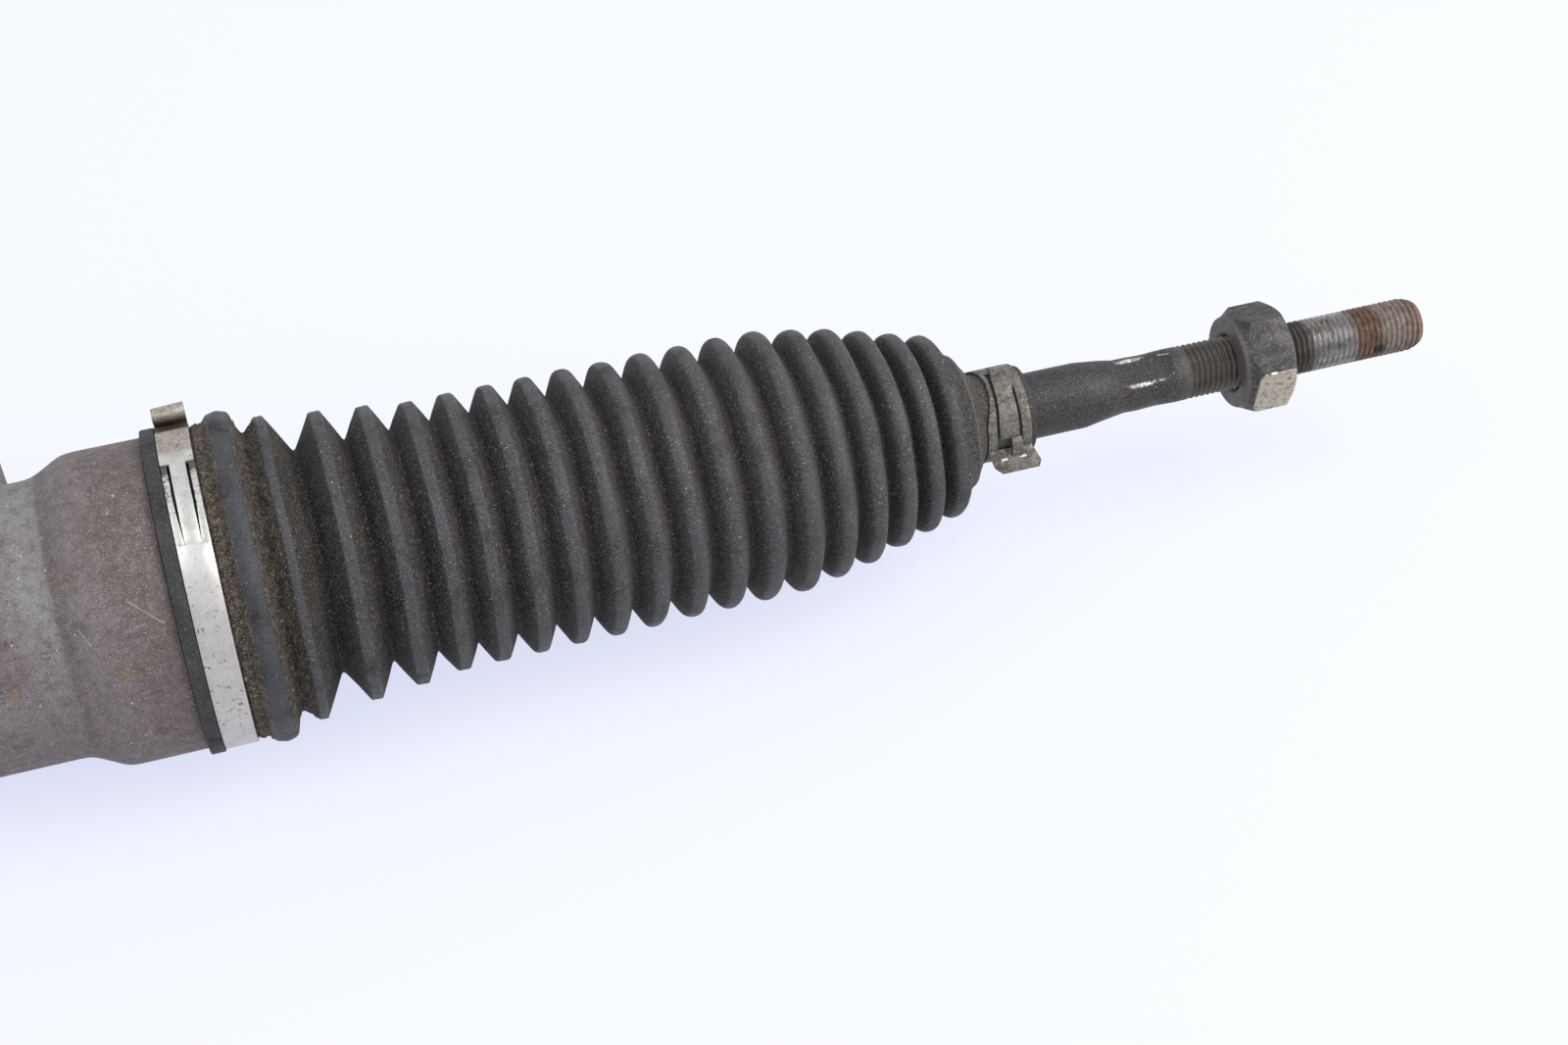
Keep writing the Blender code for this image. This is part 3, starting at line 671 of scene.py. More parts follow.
def tie_rod_steel():
    """Phosphated forging with worn bright spots and a painted reflection, and a thread that is greasy, then
    bare, rusty, and brown, with painted shade in its roots.
    """
    paint = Paint("tie_rod_steel", (41, 41, 43), 0.58, 0.35)
    paint.set("Specular IOR Level", 0.4)
    out = paint.end_distance()
    cloud = paint.blots(8, 5, 0.65, 0.38, 0.66)
    paint.over((54, 52, 52), cloud)
    paint.over((84, 66, 52), paint.blots(6, 5, 0.7, 0.50, 0.66), paint.within(out, 516, 532, 575, 585), 0.5)
    paint.speckle((132, 128, 126), 0.44, 0.34, 2, 0.6, 0.52, 0.66)
    milled = paint.step(paint.beyond(FLAT_ANGLE), FLAT_REACH - 0.35, FLAT_REACH - 0.15)
    flats = paint.within(out, FLAT_LOW + 1, FLAT_LOW + 3, FLAT_HIGH - 1.5, FLAT_HIGH)
    paint.over((34, 34, 36), milled, flats, 0.2)
    paint.over((200, 194, 186), paint.dots(1.5, 0.14, 0.07, 0.78, 0.81), 0.8)
    # Worn bright beside the flats, and a painted reflection along their upper edge
    wear_and_glints = [paint.scratch((550.6, 6.9, 105), (553.6, 6.9, 97), 0.22)]
    # The first spot, on the upper edge of the flats, is a painted reflection; the scratch and the other spots
    # are wear
    for x, angle, size, stretch in ((543.0, 107.5, 0.9, 4.5), (544.0, FLAT_ANGLE - 35, 0.65, 5.5),
                                    (549.5, 40, 0.3, 3.5)):
        edge = paint.ragged(paint.spot(x, 6.95, angle, stretch), 1.6, 0.8, 5, 0.8)
        wear_and_glints.append(paint.step(edge, size + 0.95, size + 0.35))
    wear_and_glint = paint.largest(*wear_and_glints)
    bright = paint.blend(paint.blots(0.9, 3, 0.7, 0.40, 0.60), (150, 144, 136), (238, 234, 222))
    paint.over(bright, wear_and_glint, 0.9)
    paint.over((100, 92, 85), paint.step(out, 553, 560), 0.7)
    # The zones of the thread, each with a ragged start
    ragged = paint.ragged(out, 5.0, 2.2, 5, 0.75, (1.0, 0.6, 0.6))
    for start, full, facts, first, second in (
        (593.0, 595.4, (1.6, 4, 0.7, 0.36, 0.62), (138, 135, 133), (172, 169, 166)),
        (605.2, 607.6, (1.6, 4, 0.75, 0.36, 0.64), (98, 78, 66), (140, 110, 92)),
        (612.4, 614.2, (1.8, 4, 0.7, 0.36, 0.62), (126, 112, 102), (160, 148, 138)),
    ):
        paint.over(paint.blend(paint.blots(*facts), first, second), paint.step(ragged, start, full))
    end_rust = paint.blend(paint.grain(1.1, 4, 0.75), (74, 50, 38), (128, 84, 54))
    paint.over(end_rust, paint.step(ragged, 620.4, 624.0), 0.65)
    paint.over((148, 92, 62), paint.step(paint.spot(597.2, 6.9, 99.5, 1.5), 1.6, 0.6), 0.8)
    oil = paint.ragged(paint.spot(610.6, 6.9, -3), 3.0, 1.2, 4, 0.7)
    paint.over((42, 40, 42), paint.step(oil, 4.0, 2.8), 0.85)
    paint.over((88, 68, 52), paint.step(out, 589, 592), paint.step(paint.beyond(-75), 1.5, 5.5), 0.45)
    # Painted shade in the roots of the thread
    root = paint.step(paint.apart(paint.radius(), 6.95), 0.35, 0.85)
    paint.over((34, 30, 28), root, paint.within(out, 556, 558, 621, 622.5), 0.36)
    shiny = paint.within(ragged, 593.0, 595.4, 605.2, 607.6)
    paint.set("Metallic", paint.level(shiny, 0.35, 0.85))
    rough = paint.plus(paint.level(cloud, 0.50, 0.66), paint.times(paint.step(out, 601, 607), 0.15))
    paint.set("Roughness", paint.math("SUBTRACT", rough, paint.times(paint.largest(wear_and_glint, shiny), 0.18)))
    paint.bump(paint.grain(1.8, 3, 0.6), 0.12)
    paint.bump(paint.grain(0.5, 2, 0.6), 0.06)
    return paint.material


def nut_steel():
    """Dark phosphated nut: inner face pale with dust, a painted reflection of the white table on the front
    face, and a bright nick on a corner.
    """
    paint = Paint("nut_steel", (55, 54, 55), 0.55, 0.3)
    out = paint.end_distance()
    cloud = paint.blots(3.5, 5, 0.7, 0.36, 0.64)
    paint.over((42, 40, 40), cloud)
    paint.over((79, 75, 74), paint.step(out, NUT_LOW + 1.6, NUT_LOW + 0.6))
    paint.speckle((92, 78, 64), 0.45, 2.8, 5, 0.7, 0.52, 0.66)
    paint.speckle((146, 140, 132), 0.45, 0.45, 2, 0.6, 0.58, 0.68)
    table_reflection = paint.blend(paint.blots(1.3, 5, 0.8, 0.38, 0.50), (112, 102, 90), (180, 170, 155))
    # Painted reflection of the white table on the hex face that looks forward and a little down
    side = paint.step(paint.beyond(-6), 11.95, 12.15)
    paint.over(table_reflection, side, paint.step(out, NUT_LOW + 2.6, NUT_LOW + 3.4), 0.9)
    paint.over((240, 238, 234), paint.step(paint.spot(576.8, 13.9, 24, 3.0), 0.38, 0.24))
    paint.set("Roughness", paint.level(cloud, 0.48, 0.64))
    paint.bump(paint.grain(0.8, 3, 0.6), 0.07)
    return paint.material


GRIT = sandy_grit()
MATERIALS = {
    "cast_aluminium": cast_aluminium(), "boot_rubber": boot_rubber(), "band_steel": band_steel(),
    "clamp_steel": clamp_steel(), "tie_rod_steel": tie_rod_steel(), "nut_steel": nut_steel(),
    "ground_steel": machined("ground_steel", (186, 186, 184), 0.26),
    "zinc_steel": machined("zinc_steel", (176, 170, 150), 0.36, 1.0, (118, 92, 66)),
    "socket_steel": machined("socket_steel", (70, 69, 68), 0.42, 0.8),
    "bare_aluminium": machined("bare_aluminium", (190, 190, 192), 0.34),
    "rubber": plain_rubber("rubber", (38, 37, 36)),
    "black_plastic": plain_rubber("black_plastic", (30, 30, 31), 0.42),
}


# The cast housing

def lug_outline():
    """A lug from above, pointing along +Y from its hole: a round boss that flares into the tube."""
    flare = [(20.5, -10), (22, -17), (25, -23), (29, -28), (29, -40)]
    boss = [(19 * cos(pi * i / 16), 19 * sin(pi * i / 16)) for i in range(17)]
    return list(reversed(flare)) + boss + [(-x, y) for x, y in flare]


def make_housing():
    """The casting is joined from its shapes and softened, then bored and faced as a real one is."""
    half = [(212, 27.0, 12), (236, 33.25, 12), (273.5, 33.25, 5), (281.5, 37.55, 5),
            (304.0, 37.55, 0), (304.0, 0, 0)]
    outer = rounded([(-x, r, c) for x, r, c in reversed(half)] + half, 6)
    body = lathe("rack_housing_cast", outer, 96)
    top = AXIS_Z + 44
    parts = []
    for name, x, y in LUGS:
        turn = Matrix.Translation((x * MM, y * MM, 0)) @ Matrix.Rotation(0 if y > 0 else pi, 4, "Z")
        parts.append(prism(f"lug_{name}", lug_outline(), 2, 44, turn))
    tower = [(AXIS_Z - 33, 0), (AXIS_Z - 33, 17), (AXIS_Z - 20, 17), (AXIS_Z - 14, 24), (top, 24), (top, 0)]
    parts.append(upright("tower", tower, PINION_X, PINION_Y))
    parts.append(forward("boss", solid(0, 58, 22)))
    for part in parts:
        combine(body, part, "UNION", "MANIFOLD")
    remesh = body.modifiers.new("cast", "REMESH")
    remesh.mode = "VOXEL"
    remesh.voxel_size = 1.3 * MM
    soften = body.modifiers.new("soften", "SMOOTH")
    soften.factor = 0.5
    soften.iterations = 7
    bake(body)
    well = [(0, 0), (0, 12), (30, 12), (60, 12), (64.2, 17.5), (90, 17.5), (90, 0)]
    cuts = [
        lathe("bore", solid(-HOUSING_END - 5, HOUSING_END + 5, 15.5), 96),
        lathe("cup_right", solid(262, 330, 28), 96),
        lathe("cup_left", solid(-330, -262, 28), 96),
        upright("pinion_well", well, PINION_X, PINION_Y),
        upright("tower_face", solid(top - 0.6, 99, 30), PINION_X, PINION_Y),
        forward("yoke_bore", solid(3, 70, 16)),
        forward("boss_face", solid(57.6, 70, 30)),
    ]
    for name, x, y in LUGS:
        cuts.append(upright(f"hole_{name}", solid(-9, 60, 13.5), x, y))
        cuts.append(upright(f"seat_{name}", solid(43.6, 60, 16.5), x, y))
    for cutter in cuts:
        combine(body, cutter, "DIFFERENCE", "MANIFOLD")
    for side in (-1, 1):
        face = [(side * x, r) for x, r in solid(BOOT_START - 0.15, 310, 45)]
        combine(body, lathe("end_face", face, 96), "DIFFERENCE", "MANIFOLD")
        spigot = ring(BOOT_START - 0.6, HOUSING_END, 28, 35.2, 0.5)
        obj = lathe("spigot", [(side * x, r) for x, r in spigot], 96, True)
        combine(body, obj, "UNION", "MANIFOLD")
    finish_piece(body, "housing", "cast_aluminium", ["rack_housing"], angle=40)


# The bellows

PLEATS = [(327.4, 37.05), (340.3, 35.45), (351.7, 34.35), (362.1, 33.15)]
PLEATS += [(362.1 + 9.6 * i, 33.15 - 0.07 * i) for i in range(1, 10)]
PLEATS += [(457.6, 30.95), (466.2, 29.35), (474.6, 27.1), (482.4, 25.0), (489.9, 22.9)]


def nearest_pleat(x):
    return min(PLEATS, key=lambda pleat: abs(pleat[0] - x))


def valley(pleat, following):
    """The place and the outer radius of the valley between two pleats."""
    return (pleat[0] + following[0]) / 2, min(26.7, min(pleat[1], following[1]) - 5.0)


def boot_outside():
    """Lip, collar, bead, pleats, shoulder and neck, as corners to be rounded."""
    corners = [
        (BOOT_START, 35.6, 0), (BOOT_START, 39.2, 0.4), (BAND_LOW - 0.2, 39.2, 0.3),
        (BAND_LOW - 0.2, 37.6, 0.1), (BAND_HIGH + 0.3, 37.6, 0.2), (BAND_HIGH + 0.6, 37.9, 0.3),
    ]
    bead = ((-4.2, 37.9, 0.8), (-2.8, 39.6, 1.6), (-0.3, 40.2, 2.4), (2.3, 39.5, 2.0), (3.4, 35.4, 1.0),
            (4.6, 32.8, 1.0))
    corners += [(BEAD_X + x, radius, turn) for x, radius, turn in bead]
    for i, (x, radius) in enumerate(PLEATS):
        sharp = max(0.0, 1 - max(0, i - 3) / 7)
        flat = 1.0 + 1.5 * sharp if i else 1.6
        turn = 0.45 + 2.4 * (1 - sharp)
        reach = flat / 2 + 1.1 * (1 - sharp)
        lift = 0.5 * (1 - sharp)
        corners.append((x - reach, radius - 0.1 + lift, turn))
        corners.append((x + reach, radius + lift, turn))
        if i + 1 < len(PLEATS):
            following, next_radius = PLEATS[i + 1]
            middle, depth = valley(PLEATS[i], PLEATS[i + 1])
            corners.append(((x + reach + middle) / 2, (radius + depth) / 2 + 0.15, 0))
            corners.append((middle, depth, 0.8))
            corners.append(((following - reach + middle) / 2, (next_radius + depth) / 2 + 0.15, 0))
    corners += [
        (493.6, 19.2, 2.5), (496.0, 17.0, 0.2), (496.5, 16.9, 0.2), (496.8, 16.2, 0.2), (499.4, 12.4, 1.6),
        (500.4, 11.0, 0.6), (BOOT_END - 0.1, 10.9, 0.4), (BOOT_END, 9.2, 0),
    ]
    return corners


def boot_inside():
    """The wall's inner side, back from the neck to the lip."""
    crest_wall, valley_wall = 1.9, 1.2
    back = [(BOOT_END, 8.75), (499.0, 8.9), (493.0, 15.0)]
    for i in range(len(PLEATS) - 1, -1, -1):
        x, radius = PLEATS[i]
        back += [(x + 0.6, radius - crest_wall), (x - 0.6, radius - crest_wall)]
        if i:
            middle, depth = valley(PLEATS[i - 1], PLEATS[i])
            back.append((middle, depth - valley_wall))
    return back + [(BEAD_X + 4.4, 31.0), (HOUSING_END + 0.3, 35.5), (BOOT_START, 35.5)]


def boot_reshape(x, radius, angle):
    """Small unevenness of old rubber: the crests wander a little, and dirt is packed behind the bead."""
    if x < BEAD_X - 4 or x > 500 or radius < 15:
        return x, radius
    ramp = min(1.0, (x - BEAD_X + 4) / 20, (500 - x) / 20)
    spot = Vector((x / 26, 1.6 * cos(angle), 1.6 * sin(angle)))
    wander = noise.noise(spot) * 0.55 * ramp
    swell = noise.noise(spot * 2.1 + Vector((9, 4, 2))) * 0.35 * ramp
    packed = max(0.0, 1 - abs(x - 323.2) / 3.4)
    lump = noise.noise(Vector((x / 2.2, 16 * cos(angle), 16 * sin(angle)))) + 0.25
    return x + wander, radius + swell + packed * max(0.0, lump) * 1.6


def crest_share(x, radius):
    """1 on crests and bead, less on the lip, falling to 0 on the flanks."""
    if x < BEAD_X + 3.2:
        return (1.0 if x > BAND_HIGH else 0.55) if radius > 39.0 else 0.1
    if x > 495.5:
        return 0.5
    return limited(1.4 - (nearest_pleat(x)[1] - radius) / 0.35)


def dust_and_light_share(x, radius):
    """1 on the flanks that face the boot's small end, else 0: dust settles there, and they are painted
    lighter, as if lit from that side.
    """
    return 1.0 if x > 325 and nearest_pleat(x)[0] + 0.4 < x < 488 else 0.0


def dirt_share(x, radius):
    """How much soil is packed at a place: most beside the bead, then less from pleat to pleat."""
    if x < BAND_HIGH or x > 360:
        return 0.0
    if x < BEAD_X - 2.4:
        return 0.95
    if x < BEAD_X + 2.0:
        return 0.05
    if x < 325.4:
        return 0.9
    drop = nearest_pleat(x)[1] - radius
    share = 0.5 * max(0.0, 1 - (x - 326) / 34)
    if drop < 0.7:
        return share * 0.25
    return share * (1.1 if drop < 6 else 0.3)


def paint_boot(mesh, profile):
    """Stores, at each vertex, its place at rest and the shares that the material reads."""
    places = [number for vert in mesh.vertices for number in vert.co]
    mesh.attributes.new("rest", "FLOAT_VECTOR", "POINT").data.foreach_set("vector", places)
    segments = len(mesh.vertices) // len(profile)
    for name, share in (("crest", crest_share), ("dust_and_light", dust_and_light_share), ("dirt", dirt_share)):
        shares = [share(x, radius) for x, radius in profile for _ in range(segments)]
        mesh.attributes.new(name, "FLOAT", "POINT").data.foreach_set("value", shares)


def follow_rod(boot, side):
    """The boot's small end goes where the rod goes, and its pleats share out the motion.

    The pleats near the housing take most of it, which keeps the wall clear of the rod and of its socket.
    """
    fixed_end, moving_end = 325, 498
    group = boot.vertex_groups.new(name="rod")
    for vert in boot.data.vertices:
        share = (abs(vert.co.x) / MM - fixed_end) / (moving_end - fixed_end)
        group.add([vert.index], sin(pi / 2 * limited(share)), "REPLACE")
    hook = boot.modifiers.new("follow_rod", "HOOK")
    hook.object = frame["bodies"][f"rod_{side}"]
    hook.vertex_group = "rod"
    hook.falloff_type = "NONE"
    hook.center = (0, 0, 0)
    hook.matrix_inverse = STILL


def make_boot(side, turn):
    profile = finer(rounded(boot_outside()), 1.3) + boot_inside()
    boot = lathe(f"bellows_{side}", profile, 144, True, boot_reshape)
    finish_piece(boot, "housing", "boot_rubber", [f"boot_{side}"], turn, 60)
    paint_boot(boot.data, profile)
    follow_rod(boot, side)


def profile_radius(profile, x):
    """A profile's radius at one place, between its points."""
    for (x0, r0), (x1, r1) in zip(profile, profile[1:]):
        if x0 <= x <= x1 and x1 > x0:
            return r0 + (r1 - r0) * (x - x0) / (x1 - x0)
    raise ValueError(f"{x} is outside the profile")


def make_grit(side, turn):
    """Grains of sand and soil caught in the groove beside the band and behind the bead."""
    random = Random(11 if side == "right" else 12)
    outside = rounded(boot_outside())
    grain = bmesh.new()
    bmesh.ops.create_icosphere(grain, subdivisions=1, radius=MM)
    corners = [vert.co.copy() for vert in grain.verts]
    triangles = [[vert.index for vert in face.verts] for face in grain.faces]
    grain.free()
    verts, faces = [], []
    for _ in range(3600):
        middle, spread = random.choice(((313.2, 0.9), (322.2, 0.8), (323.6, 1.2), (325.2, 1.0)))
        x = random.gauss(middle, spread)
        if not BAND_HIGH + 0.4 < x < 327:
            continue
        angle = random.uniform(0, 2 * pi)
        radius = profile_radius(outside, x) - 0.1
        size = random.uniform(0.10, 0.24) * random.choice((0.7, 1, 1, 1, 2.2))
        shape = Matrix.Diagonal([size * random.uniform(0.6, 1.3) for _ in range(3)] + [1])
        tilt = Matrix.Rotation(random.uniform(0, pi), 4, Vector((random.random(), random.random(), 1)))
        place = Matrix.Translation(at(x, radius, angle)) @ tilt @ shape
        faces += [[len(verts) + corner for corner in triangle] for triangle in triangles]
        verts += [place @ corner for corner in corners]
    mesh = bpy.data.meshes.new(f"grit_{side}")
    mesh.from_pydata(verts, [], faces)
    finish_piece(new_object(f"grit_{side}", mesh), "housing", "boot_rubber", (), turn, 80, GRIT)


# Clamps

def make_band(side, turn):
    """Band clamp: a ring with a raised tongue between two narrow slots, its overlap, and a curled ear."""
    low, high, radius = BAND_LOW, BAND_HIGH, 38.3
    middle = (low + high) / 2
    band = strap("ring", arc_path(0, 360, radius, 2), low, high, 0.7)
    for way in (-1, 1):
        def slot_width(share):
            inner, wide = 1.85, 0.08 + 0.55 * min(1.0, share * 2.5)
            return sorted((middle + way * inner, middle + way * (inner + wide)))
        slot = strap("slot", arc_path(61, 93.5, radius, 2), low, high, 2.4, slot_width)
        combine(band, slot, "DIFFERENCE", "MANIFOLD")
    parts = [band]
    path = arc_path(61, 98, radius + 0.1, 2)
    tongue = [(angle, r + 0.45 * sin(pi / 2 * min(1.0, i / 10))) for i, (angle, r) in enumerate(path)]
    parts.append(strap("tongue", tongue, middle - 1.83, middle + 1.83, 0.6))
    parts.append(strap("overlap", arc_path(93.6, 130, radius + 0.55, 2), low, high, 0.5))
    centre_angle, centre_r, roll = radians(126.5), 42.0, 1.75
    ear = [(radians(130.2), 38.9), (radians(129.8), 40.0)]
    for i in range(13):
        curl = radians(-20 + 275 * i / 12)
        ear.append((centre_angle + roll * cos(curl) / centre_r, centre_r + roll * sin(curl)))
    parts.append(strap("ear", ear, low, high, 0.5))
    for vert in parts[-1].data.vertices:
        x = abs(vert.co.x) / MM - middle
        reach = hypot(vert.co.y, vert.co.z - AXIS_Z * MM) / MM
        rise = (0.07 * x - 0.65 * exp(-(x / 1.7) ** 2)) * limited((reach - 41) / 2)
        vert.co.z += rise * MM
    band = merge(f"band_clamp_{side}", parts)
    bevel(band, 0.12)
    finish_piece(band, "housing", "band_steel", [f"boot_band_{side}"], turn, 35)


def make_small_clamp(side, turn):
    """Spring band: side strips and a raised tongue over the neck, and a tab with two windows."""
    low, high, radius, thick = CLAMP_LOW - 0.8, CLAMP_HIGH - 0.5, 11.45, 0.55
    parts = [
        strap("back", arc_path(106, 352, radius, 5), low, high, thick),
        strap("strip_low", arc_path(-10, 108, radius, 5), low, low + 2.4, thick),
        strap("strip_high", arc_path(-10, 108, radius, 5), high - 2.5, high, thick),
    ]
    path = arc_path(10, 128, radius, 5)
    hump = [(angle, r + 0.75 * sin(pi * i / len(path)) ** 0.7) for i, (angle, r) in enumerate(path)]

    def tongue_width(share):
        """Even beside the slots, then cut away on one side and joined to the far strip on the other."""
        return low + 2.95 + 2.5 * limited(share * 3 - 1.6), high - 3.4 + 1.6 * limited(share * 5 - 2.4)

    parts.append(strap("tongue", hump, low, high, 0.5, tongue_width))
    outline = [(0, low), (4.4, low + 1.0), (6.2, low + 2.8), (6.2, high + 0.9), (4.6, high + 1.7), (0, high)]
    plate = prism("tab", outline, -0.35, 0.35)
    for middle in (low + 3.9, high - 2.6):
        corners = [(1.4, middle - 1.2), (3.0, middle - 0.8), (3.0, middle + 0.9), (1.4, middle + 1.0)]
        combine(plate, prism("window", corners, -2, 2), "DIFFERENCE")
    # The plate is drawn with its length along X and the axis along Y
    to_axis = Matrix(((0, 1, 0, 0), (-1, 0, 0, 0), (0, 0, 1, 0), (0, 0, 0, 1)))
    lean = Matrix.Rotation(radians(44), 4, "X")
    plate.data.transform(Matrix.Translation((0, -11.2 * MM, (AXIS_Z - 1.5) * MM)) @ lean @ to_axis)
    hook = ((11, 11.7), (5, 12.5), (-3, 12.9), (-9, 13.1), (-14, 13.3))
    parts.append(strap("hook", [(radians(angle), r) for angle, r in hook], low + 5.9, high - 2.9, 0.6))
    clamp = merge(f"small_clamp_{side}", parts + [plate])
    # The low side strip leans towards the tongue over the top of the neck
    for vert in clamp.data.vertices:
        rise = max(0.0, vert.co.z / MM - AXIS_Z - 6) / 5.5
        vert.co.x += 2.4 * rise * max(0.0, 1 - (vert.co.x / MM - low) / 4.2) * MM
    clean(clamp.data, 0.0000001)
    bevel(clamp, 0.1)
    finish_piece(clamp, f"rod_{side}", "clamp_steel", [f"boot_clamp_{side}"], turn, 35)


# The tie rod and its nut

PITCH = 1.5
THREAD_DEPTH = 0.92
THREAD_R = 6.98


def thread_radius(x, angle):
    """A 60 degree thread with flat crests and roots, which runs out at its start, and an end chamfer."""
    share = (x / PITCH - angle / (2 * pi)) % 1.0
    height = limited((0.5 - abs(share - 0.5)) * 2.7 - 0.32)
    run_out = limited((x - THREAD_START) / 2.2)
    chamfer = 5.0 + 2.1 * sqrt(min(1.0, (ROD_END - x) / 4.2))
    return min(THREAD_R - THREAD_DEPTH * (1 - height) * run_out, chamfer)


def make_rod(side, turn):
    """Ball, shank, wrench flats and thread in one turned surface."""
    ball_x, ball_r, neck_r = 360.0, 15.0, 7.0
    reach = sqrt(ball_r ** 2 - neck_r ** 2)
    last = atan2(neck_r, -reach)
    head = [(ball_x - ball_r * cos(last * i / 24), ball_r * sin(last * i / 24)) for i in range(25)]
    shank = rounded([
        (head[-1][0], neck_r, 0), (384, neck_r, 3), (392, 8.45, 3), (529.0, 8.45, 5), (539.5, 6.9, 5),
        (543.5, 7.05, 3), (548.5, 6.8, 3), (553.5, 7.0, 3), (THREAD_START, 6.95, 0),
    ], 5)
    length = ROD_END - THREAD_START
    rows = int(length / (PITCH / 8))
    thread = [(THREAD_START + length * i / rows, THREAD_R) for i in range(1, rows + 1)]
    profile = head + finer(shank, 1.2)[1:] + thread + [(ROD_END, 5.0), (ROD_END, 0)]

    def reshape(x, radius, angle):
        if radius < 6 and x < ROD_END - 3:
            return x, radius
        if 392 < x < THREAD_START:
            spot = Vector((x / 9, 1.4 * cos(angle), 1.4 * sin(angle)))
            rough = noise.noise(spot) * (0.10 + 0.20 * limited((x - 522) / 14))
            radius += rough * min(1.0, (THREAD_START - x) / 3)
            cut = min(1.0, max(0.0, (x - FLAT_LOW) / 4), max(0.0, (FLAT_HIGH - x) / 2.5))
            facing = abs(cos(angle - radians(FLAT_ANGLE)))
            if FLAT_LOW < x < FLAT_HIGH and facing > 0.5:
                radius = min(radius, (FLAT_REACH + 2.4 * (1 - cut ** 0.5)) / facing)
            return x, radius
        if x >= THREAD_START and radius > 5.5:
            radius = thread_radius(x, angle)
        return x, radius

    rod = lathe(f"inner_tie_rod_{side}", profile, 96, False, reshape)
    finish_piece(rod, f"rod_{side}", "tie_rod_steel", [f"tie_rod_{side}"], turn, 50)


def make_nut(side, turn):
    """Hexagon nut: a round face with a long chamfer towards the ball joint, a short one outwards."""
    flats, first_corner = 24.4, radians(24)
    corner = flats / 2 / cos(pi / 6)
    nut = prism(f"lock_nut_{side}", hexagon(corner), NUT_LOW, NUT_HIGH)
    # The prism stands on Z: its X turns to the angle of the first corner, seen from the front over the top
    to_axis = Matrix(((0, 0, 1, 0), (-1, 0, 0, 0), (0, 1, 0, 0), (0, 0, 0, 1)))
    lean = Matrix.Rotation(-first_corner, 4, "X")
    nut.data.transform(Matrix.Translation((0, 0, AXIS_Z * MM)) @ lean @ to_axis)
    clean(nut.data)
    dome = rounded([
        (NUT_LOW, 0, 0), (NUT_LOW, 11.7, 0.5), (NUT_LOW + 2.2, 12.5, 1.5),
        (NUT_LOW + 4.2, corner + 0.05, 0.5), (NUT_HIGH - 1.3, corner + 0.05, 0.3),
        (NUT_HIGH, flats / 2 - 0.5, 0.3), (NUT_HIGH, 0, 0),
    ], 5)
    combine(nut, lathe("dome", dome), "INTERSECT")
    bore = [(NUT_LOW - 1, 0), (NUT_LOW - 1, 9.0), (NUT_LOW + 0.9, 7.1),
            (NUT_HIGH - 0.9, 7.1), (NUT_HIGH + 1, 8.9), (NUT_HIGH + 1, 0)]
    combine(nut, lathe("bore", bore, 96), "DIFFERENCE")
    bevel(nut, 0.25, 3, 25)
    finish_piece(nut, f"rod_{side}", "nut_steel", [f"jam_nut_{side}"], turn, 28)


# Pieces that the other views show

def make_mounts():
    for name, x, y in LUGS:
        sleeve = upright(f"bolt_sleeve_{name}", ring(0, 46, 5.5, 8.0, 0.6), x, y, 72, True)
        finish_piece(sleeve, "housing", "zinc_steel", [f"mount_sleeve_{name}"])
        profile = [(0.7, 8.3), (0.7, 16.2), (1.0, 16.5), (1.7, 16.3), (1.7, 13.2), (43.6, 13.2), (44.6, 12.4),
                   (44.0, 11.0), (43.2, 9.6), (43.6, 8.3)]
        bush = upright(f"rubber_bush_{name}", profile, x, y, 72, True)
        finish_piece(bush, "housing", "rubber", [f"mount_bush_{name}"])


def make_dust_cover():
    """The rubber cover around the input shaft, with two folds."""
    base = AXIS_Z + 44.3
    section = ((0, 17.6, 0), (0, 22.4, 0.4), (2.2, 22.4, 0.8), (3.4, 18.5, 0.6), (5.0, 17.4, 0.8),
               (5.2, 13.0, 0.6), (7.9, 12.2, 0.7), (8.2, 9.0, 0.3), (8.2, 8.1, 0), (6.6, 8.1, 0.2),
               (4.0, 11.8, 0.5), (2.0, 17.2, 0.5))
    profile = rounded([(base + height, radius, turn) for height, radius, turn in section])
    cover = upright("dust_cover", profile, PINION_X, PINION_Y, 96, True)
    finish_piece(cover, "housing", "rubber", ["pinion_dust_cover"], angle=50)


def make_yoke_front():
    """Adjuster plug and its thin lock nut on the front of the housing."""
    plug = [(41, 0), (41, 15.6), (44, 15.6), (44, 13.9), (46.5, 13.9), (46.5, 15.6)]
    for i in range(13):
        x = 50 + i * 1.2
        plug += [(x, 15.6), (x + 0.6, 14.95)]
    plug += [(66.0, 15.6), (67.0, 14.6), (67.0, 0)]
    obj = forward("adjuster_plug", plug)
    place = Matrix.Translation((PINION_X * MM, 0, AXIS_Z * MM)) @ Matrix.Rotation(pi / 2, 4, "X")
    combine(obj, prism("socket", hexagon(8.1), 58, 70, place), "DIFFERENCE")
    bevel(obj, 0.2, 2, 40)
    finish_piece(obj, "housing", "zinc_steel", ["yoke_plug"])
    corner = 23.0
    flats = corner * cos(pi / 6)
    nut = prism("adjuster_nut", hexagon(corner, pi / 6), 58.3, 64.5, place)
    dome = [(58.3, 0), (58.3, flats - 0.4), (59.8, corner + 0.1),
            (63.0, corner + 0.1), (64.5, flats - 0.4), (64.5, 0)]
    combine(nut, forward("dome", dome, 144), "INTERSECT")
    combine(nut, forward("bore", solid(50, 70, 15.9)), "DIFFERENCE")
    bevel(nut, 0.25, 2, 25)
    finish_piece(nut, "housing", "zinc_steel", ["yoke_lock_nut"], angle=28)


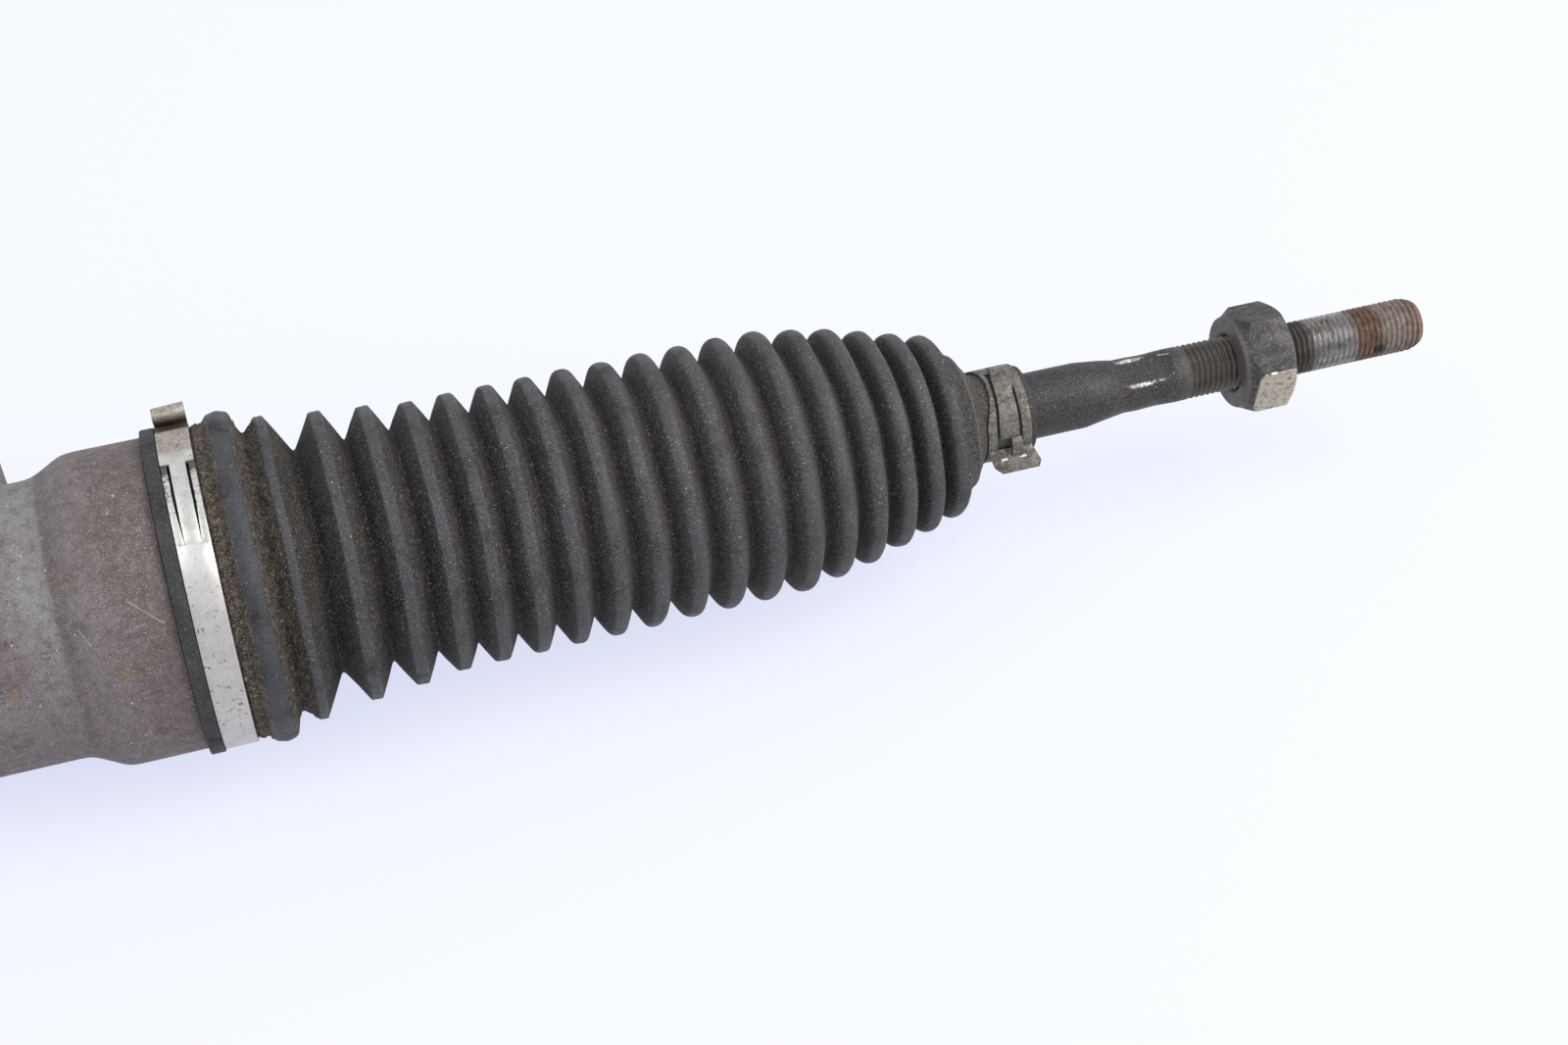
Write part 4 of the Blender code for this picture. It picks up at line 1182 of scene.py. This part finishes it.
def rounder():
    """Node group that welds a faceted CAD mesh and shades its round faces smooth."""
    group = bpy.data.node_groups.new("rounder", "GeometryNodeTree")
    for way in ("INPUT", "OUTPUT"):
        group.interface.new_socket("Geometry", in_out=way, socket_type="NodeSocketGeometry")
    mesh = add_node(group, "NodeGroupInput", 0)
    mesh = add_node(group, "GeometryNodeMergeByDistance", 0, {"Geometry": mesh, "Distance": 0.00001})
    mesh = add_node(group, "GeometryNodeRemoveAttribute", 0, {"Geometry": mesh, "Name": "custom_normal"})
    mesh = add_node(group, "GeometryNodeSetShadeSmooth", 0, {"Geometry": mesh}, domain="FACE")
    bend = add_node(group, "GeometryNodeInputMeshEdgeAngle", "Unsigned Angle")
    inputs = {"A": bend, "B": radians(32)}
    flat = add_node(group, "FunctionNodeCompare", "Result", inputs, operation="LESS_THAN")
    inputs = {"Geometry": mesh, "Shade Smooth": flat}
    mesh = add_node(group, "GeometryNodeSetShadeSmooth", 0, inputs, domain="EDGE")
    group.links.new(mesh, group.nodes.new("NodeGroupOutput").inputs[0])
    return group


def dress_cad_nodes():
    """Every CAD node that stays gets its finish and rounder shading."""
    group = rounder()
    slots = {part["node"]: part["material_slot"] for part in frame["record"]["subparts"]}
    for name, obj in frame["nodes"].items():
        if obj.hide_render:
            continue
        obj.data.materials.clear()
        obj.data.materials.append(MATERIALS[slots[name]])
        obj.modifiers.new("rounder", "NODES").node_group = group


# Stage

def make_stage():
    bm = bmesh.new()
    bmesh.ops.create_grid(bm, x_segments=1, y_segments=1, size=12)
    floor = from_bmesh("floor", bm)
    # White paper on a light table: most of its light comes through it, so the shadows on it are faint
    paint = Paint("paper", (0.20, 0.19, 0.12, 1), 0.9)
    paint.set("Specular IOR Level", 0.0)
    paint.set("Emission Color", (0.755, 0.79, 1.0, 1))
    paint.set("Emission Strength", 0.88)
    floor.data.materials.append(paint.material)
    world = bpy.data.worlds.new("studio")
    bpy.context.scene.world = world
    world.use_nodes = True
    background = world.node_tree.nodes["Background"]
    background.inputs["Color"].default_value = (0.92, 0.95, 1.0, 1)
    background.inputs["Strength"].default_value = 0.85
    lit_spot = Vector((0.35, 0, 0))
    lights = (("key", (1.5, -0.5, 1.3), 1.3, 26), ("fill", (-0.9, -0.2, 1.7), 1.6, 10))
    for name, place, size, power in lights:
        light = bpy.data.lights.new(name, "AREA")
        light.size = size
        light.energy = power
        obj = new_object(name, light)
        obj.location = place
        obj.rotation_euler = (lit_spot - Vector(place)).to_track_quat("-Z", "Y").to_euler()
    bpy.context.scene.view_settings.view_transform = "Standard"


def make_camera():
    """Looks down at the right-hand end from the front, with a 57 mm lens and a slight roll."""
    place, roll = Vector((0.3227, -0.4219, 0.4792)), radians(0.29)
    sight = Vector((0.2002, 0.6613, -0.7230)).normalized()
    right = Matrix.Rotation(roll, 3, sight) @ sight.cross(Vector((0, 0, 1))).normalized()
    turn = Matrix((right, right.cross(sight), -sight)).transposed()
    data = bpy.data.cameras.new("camera")
    data.lens = 57.4
    data.sensor_width = 36
    camera = new_object("camera", data)
    camera.matrix_world = Matrix.Translation(place) @ turn.to_4x4()
    bpy.context.scene.camera = camera


make_camera()
make_stage()
make_housing()
for side, turn in SIDES:
    make_boot(side, turn)
    make_grit(side, turn)
    make_band(side, turn)
    make_small_clamp(side, turn)
    make_rod(side, turn)
    make_nut(side, turn)
make_mounts()
make_dust_cover()
make_yoke_front()
dress_cad_nodes()

bpy.context.view_layer.update()
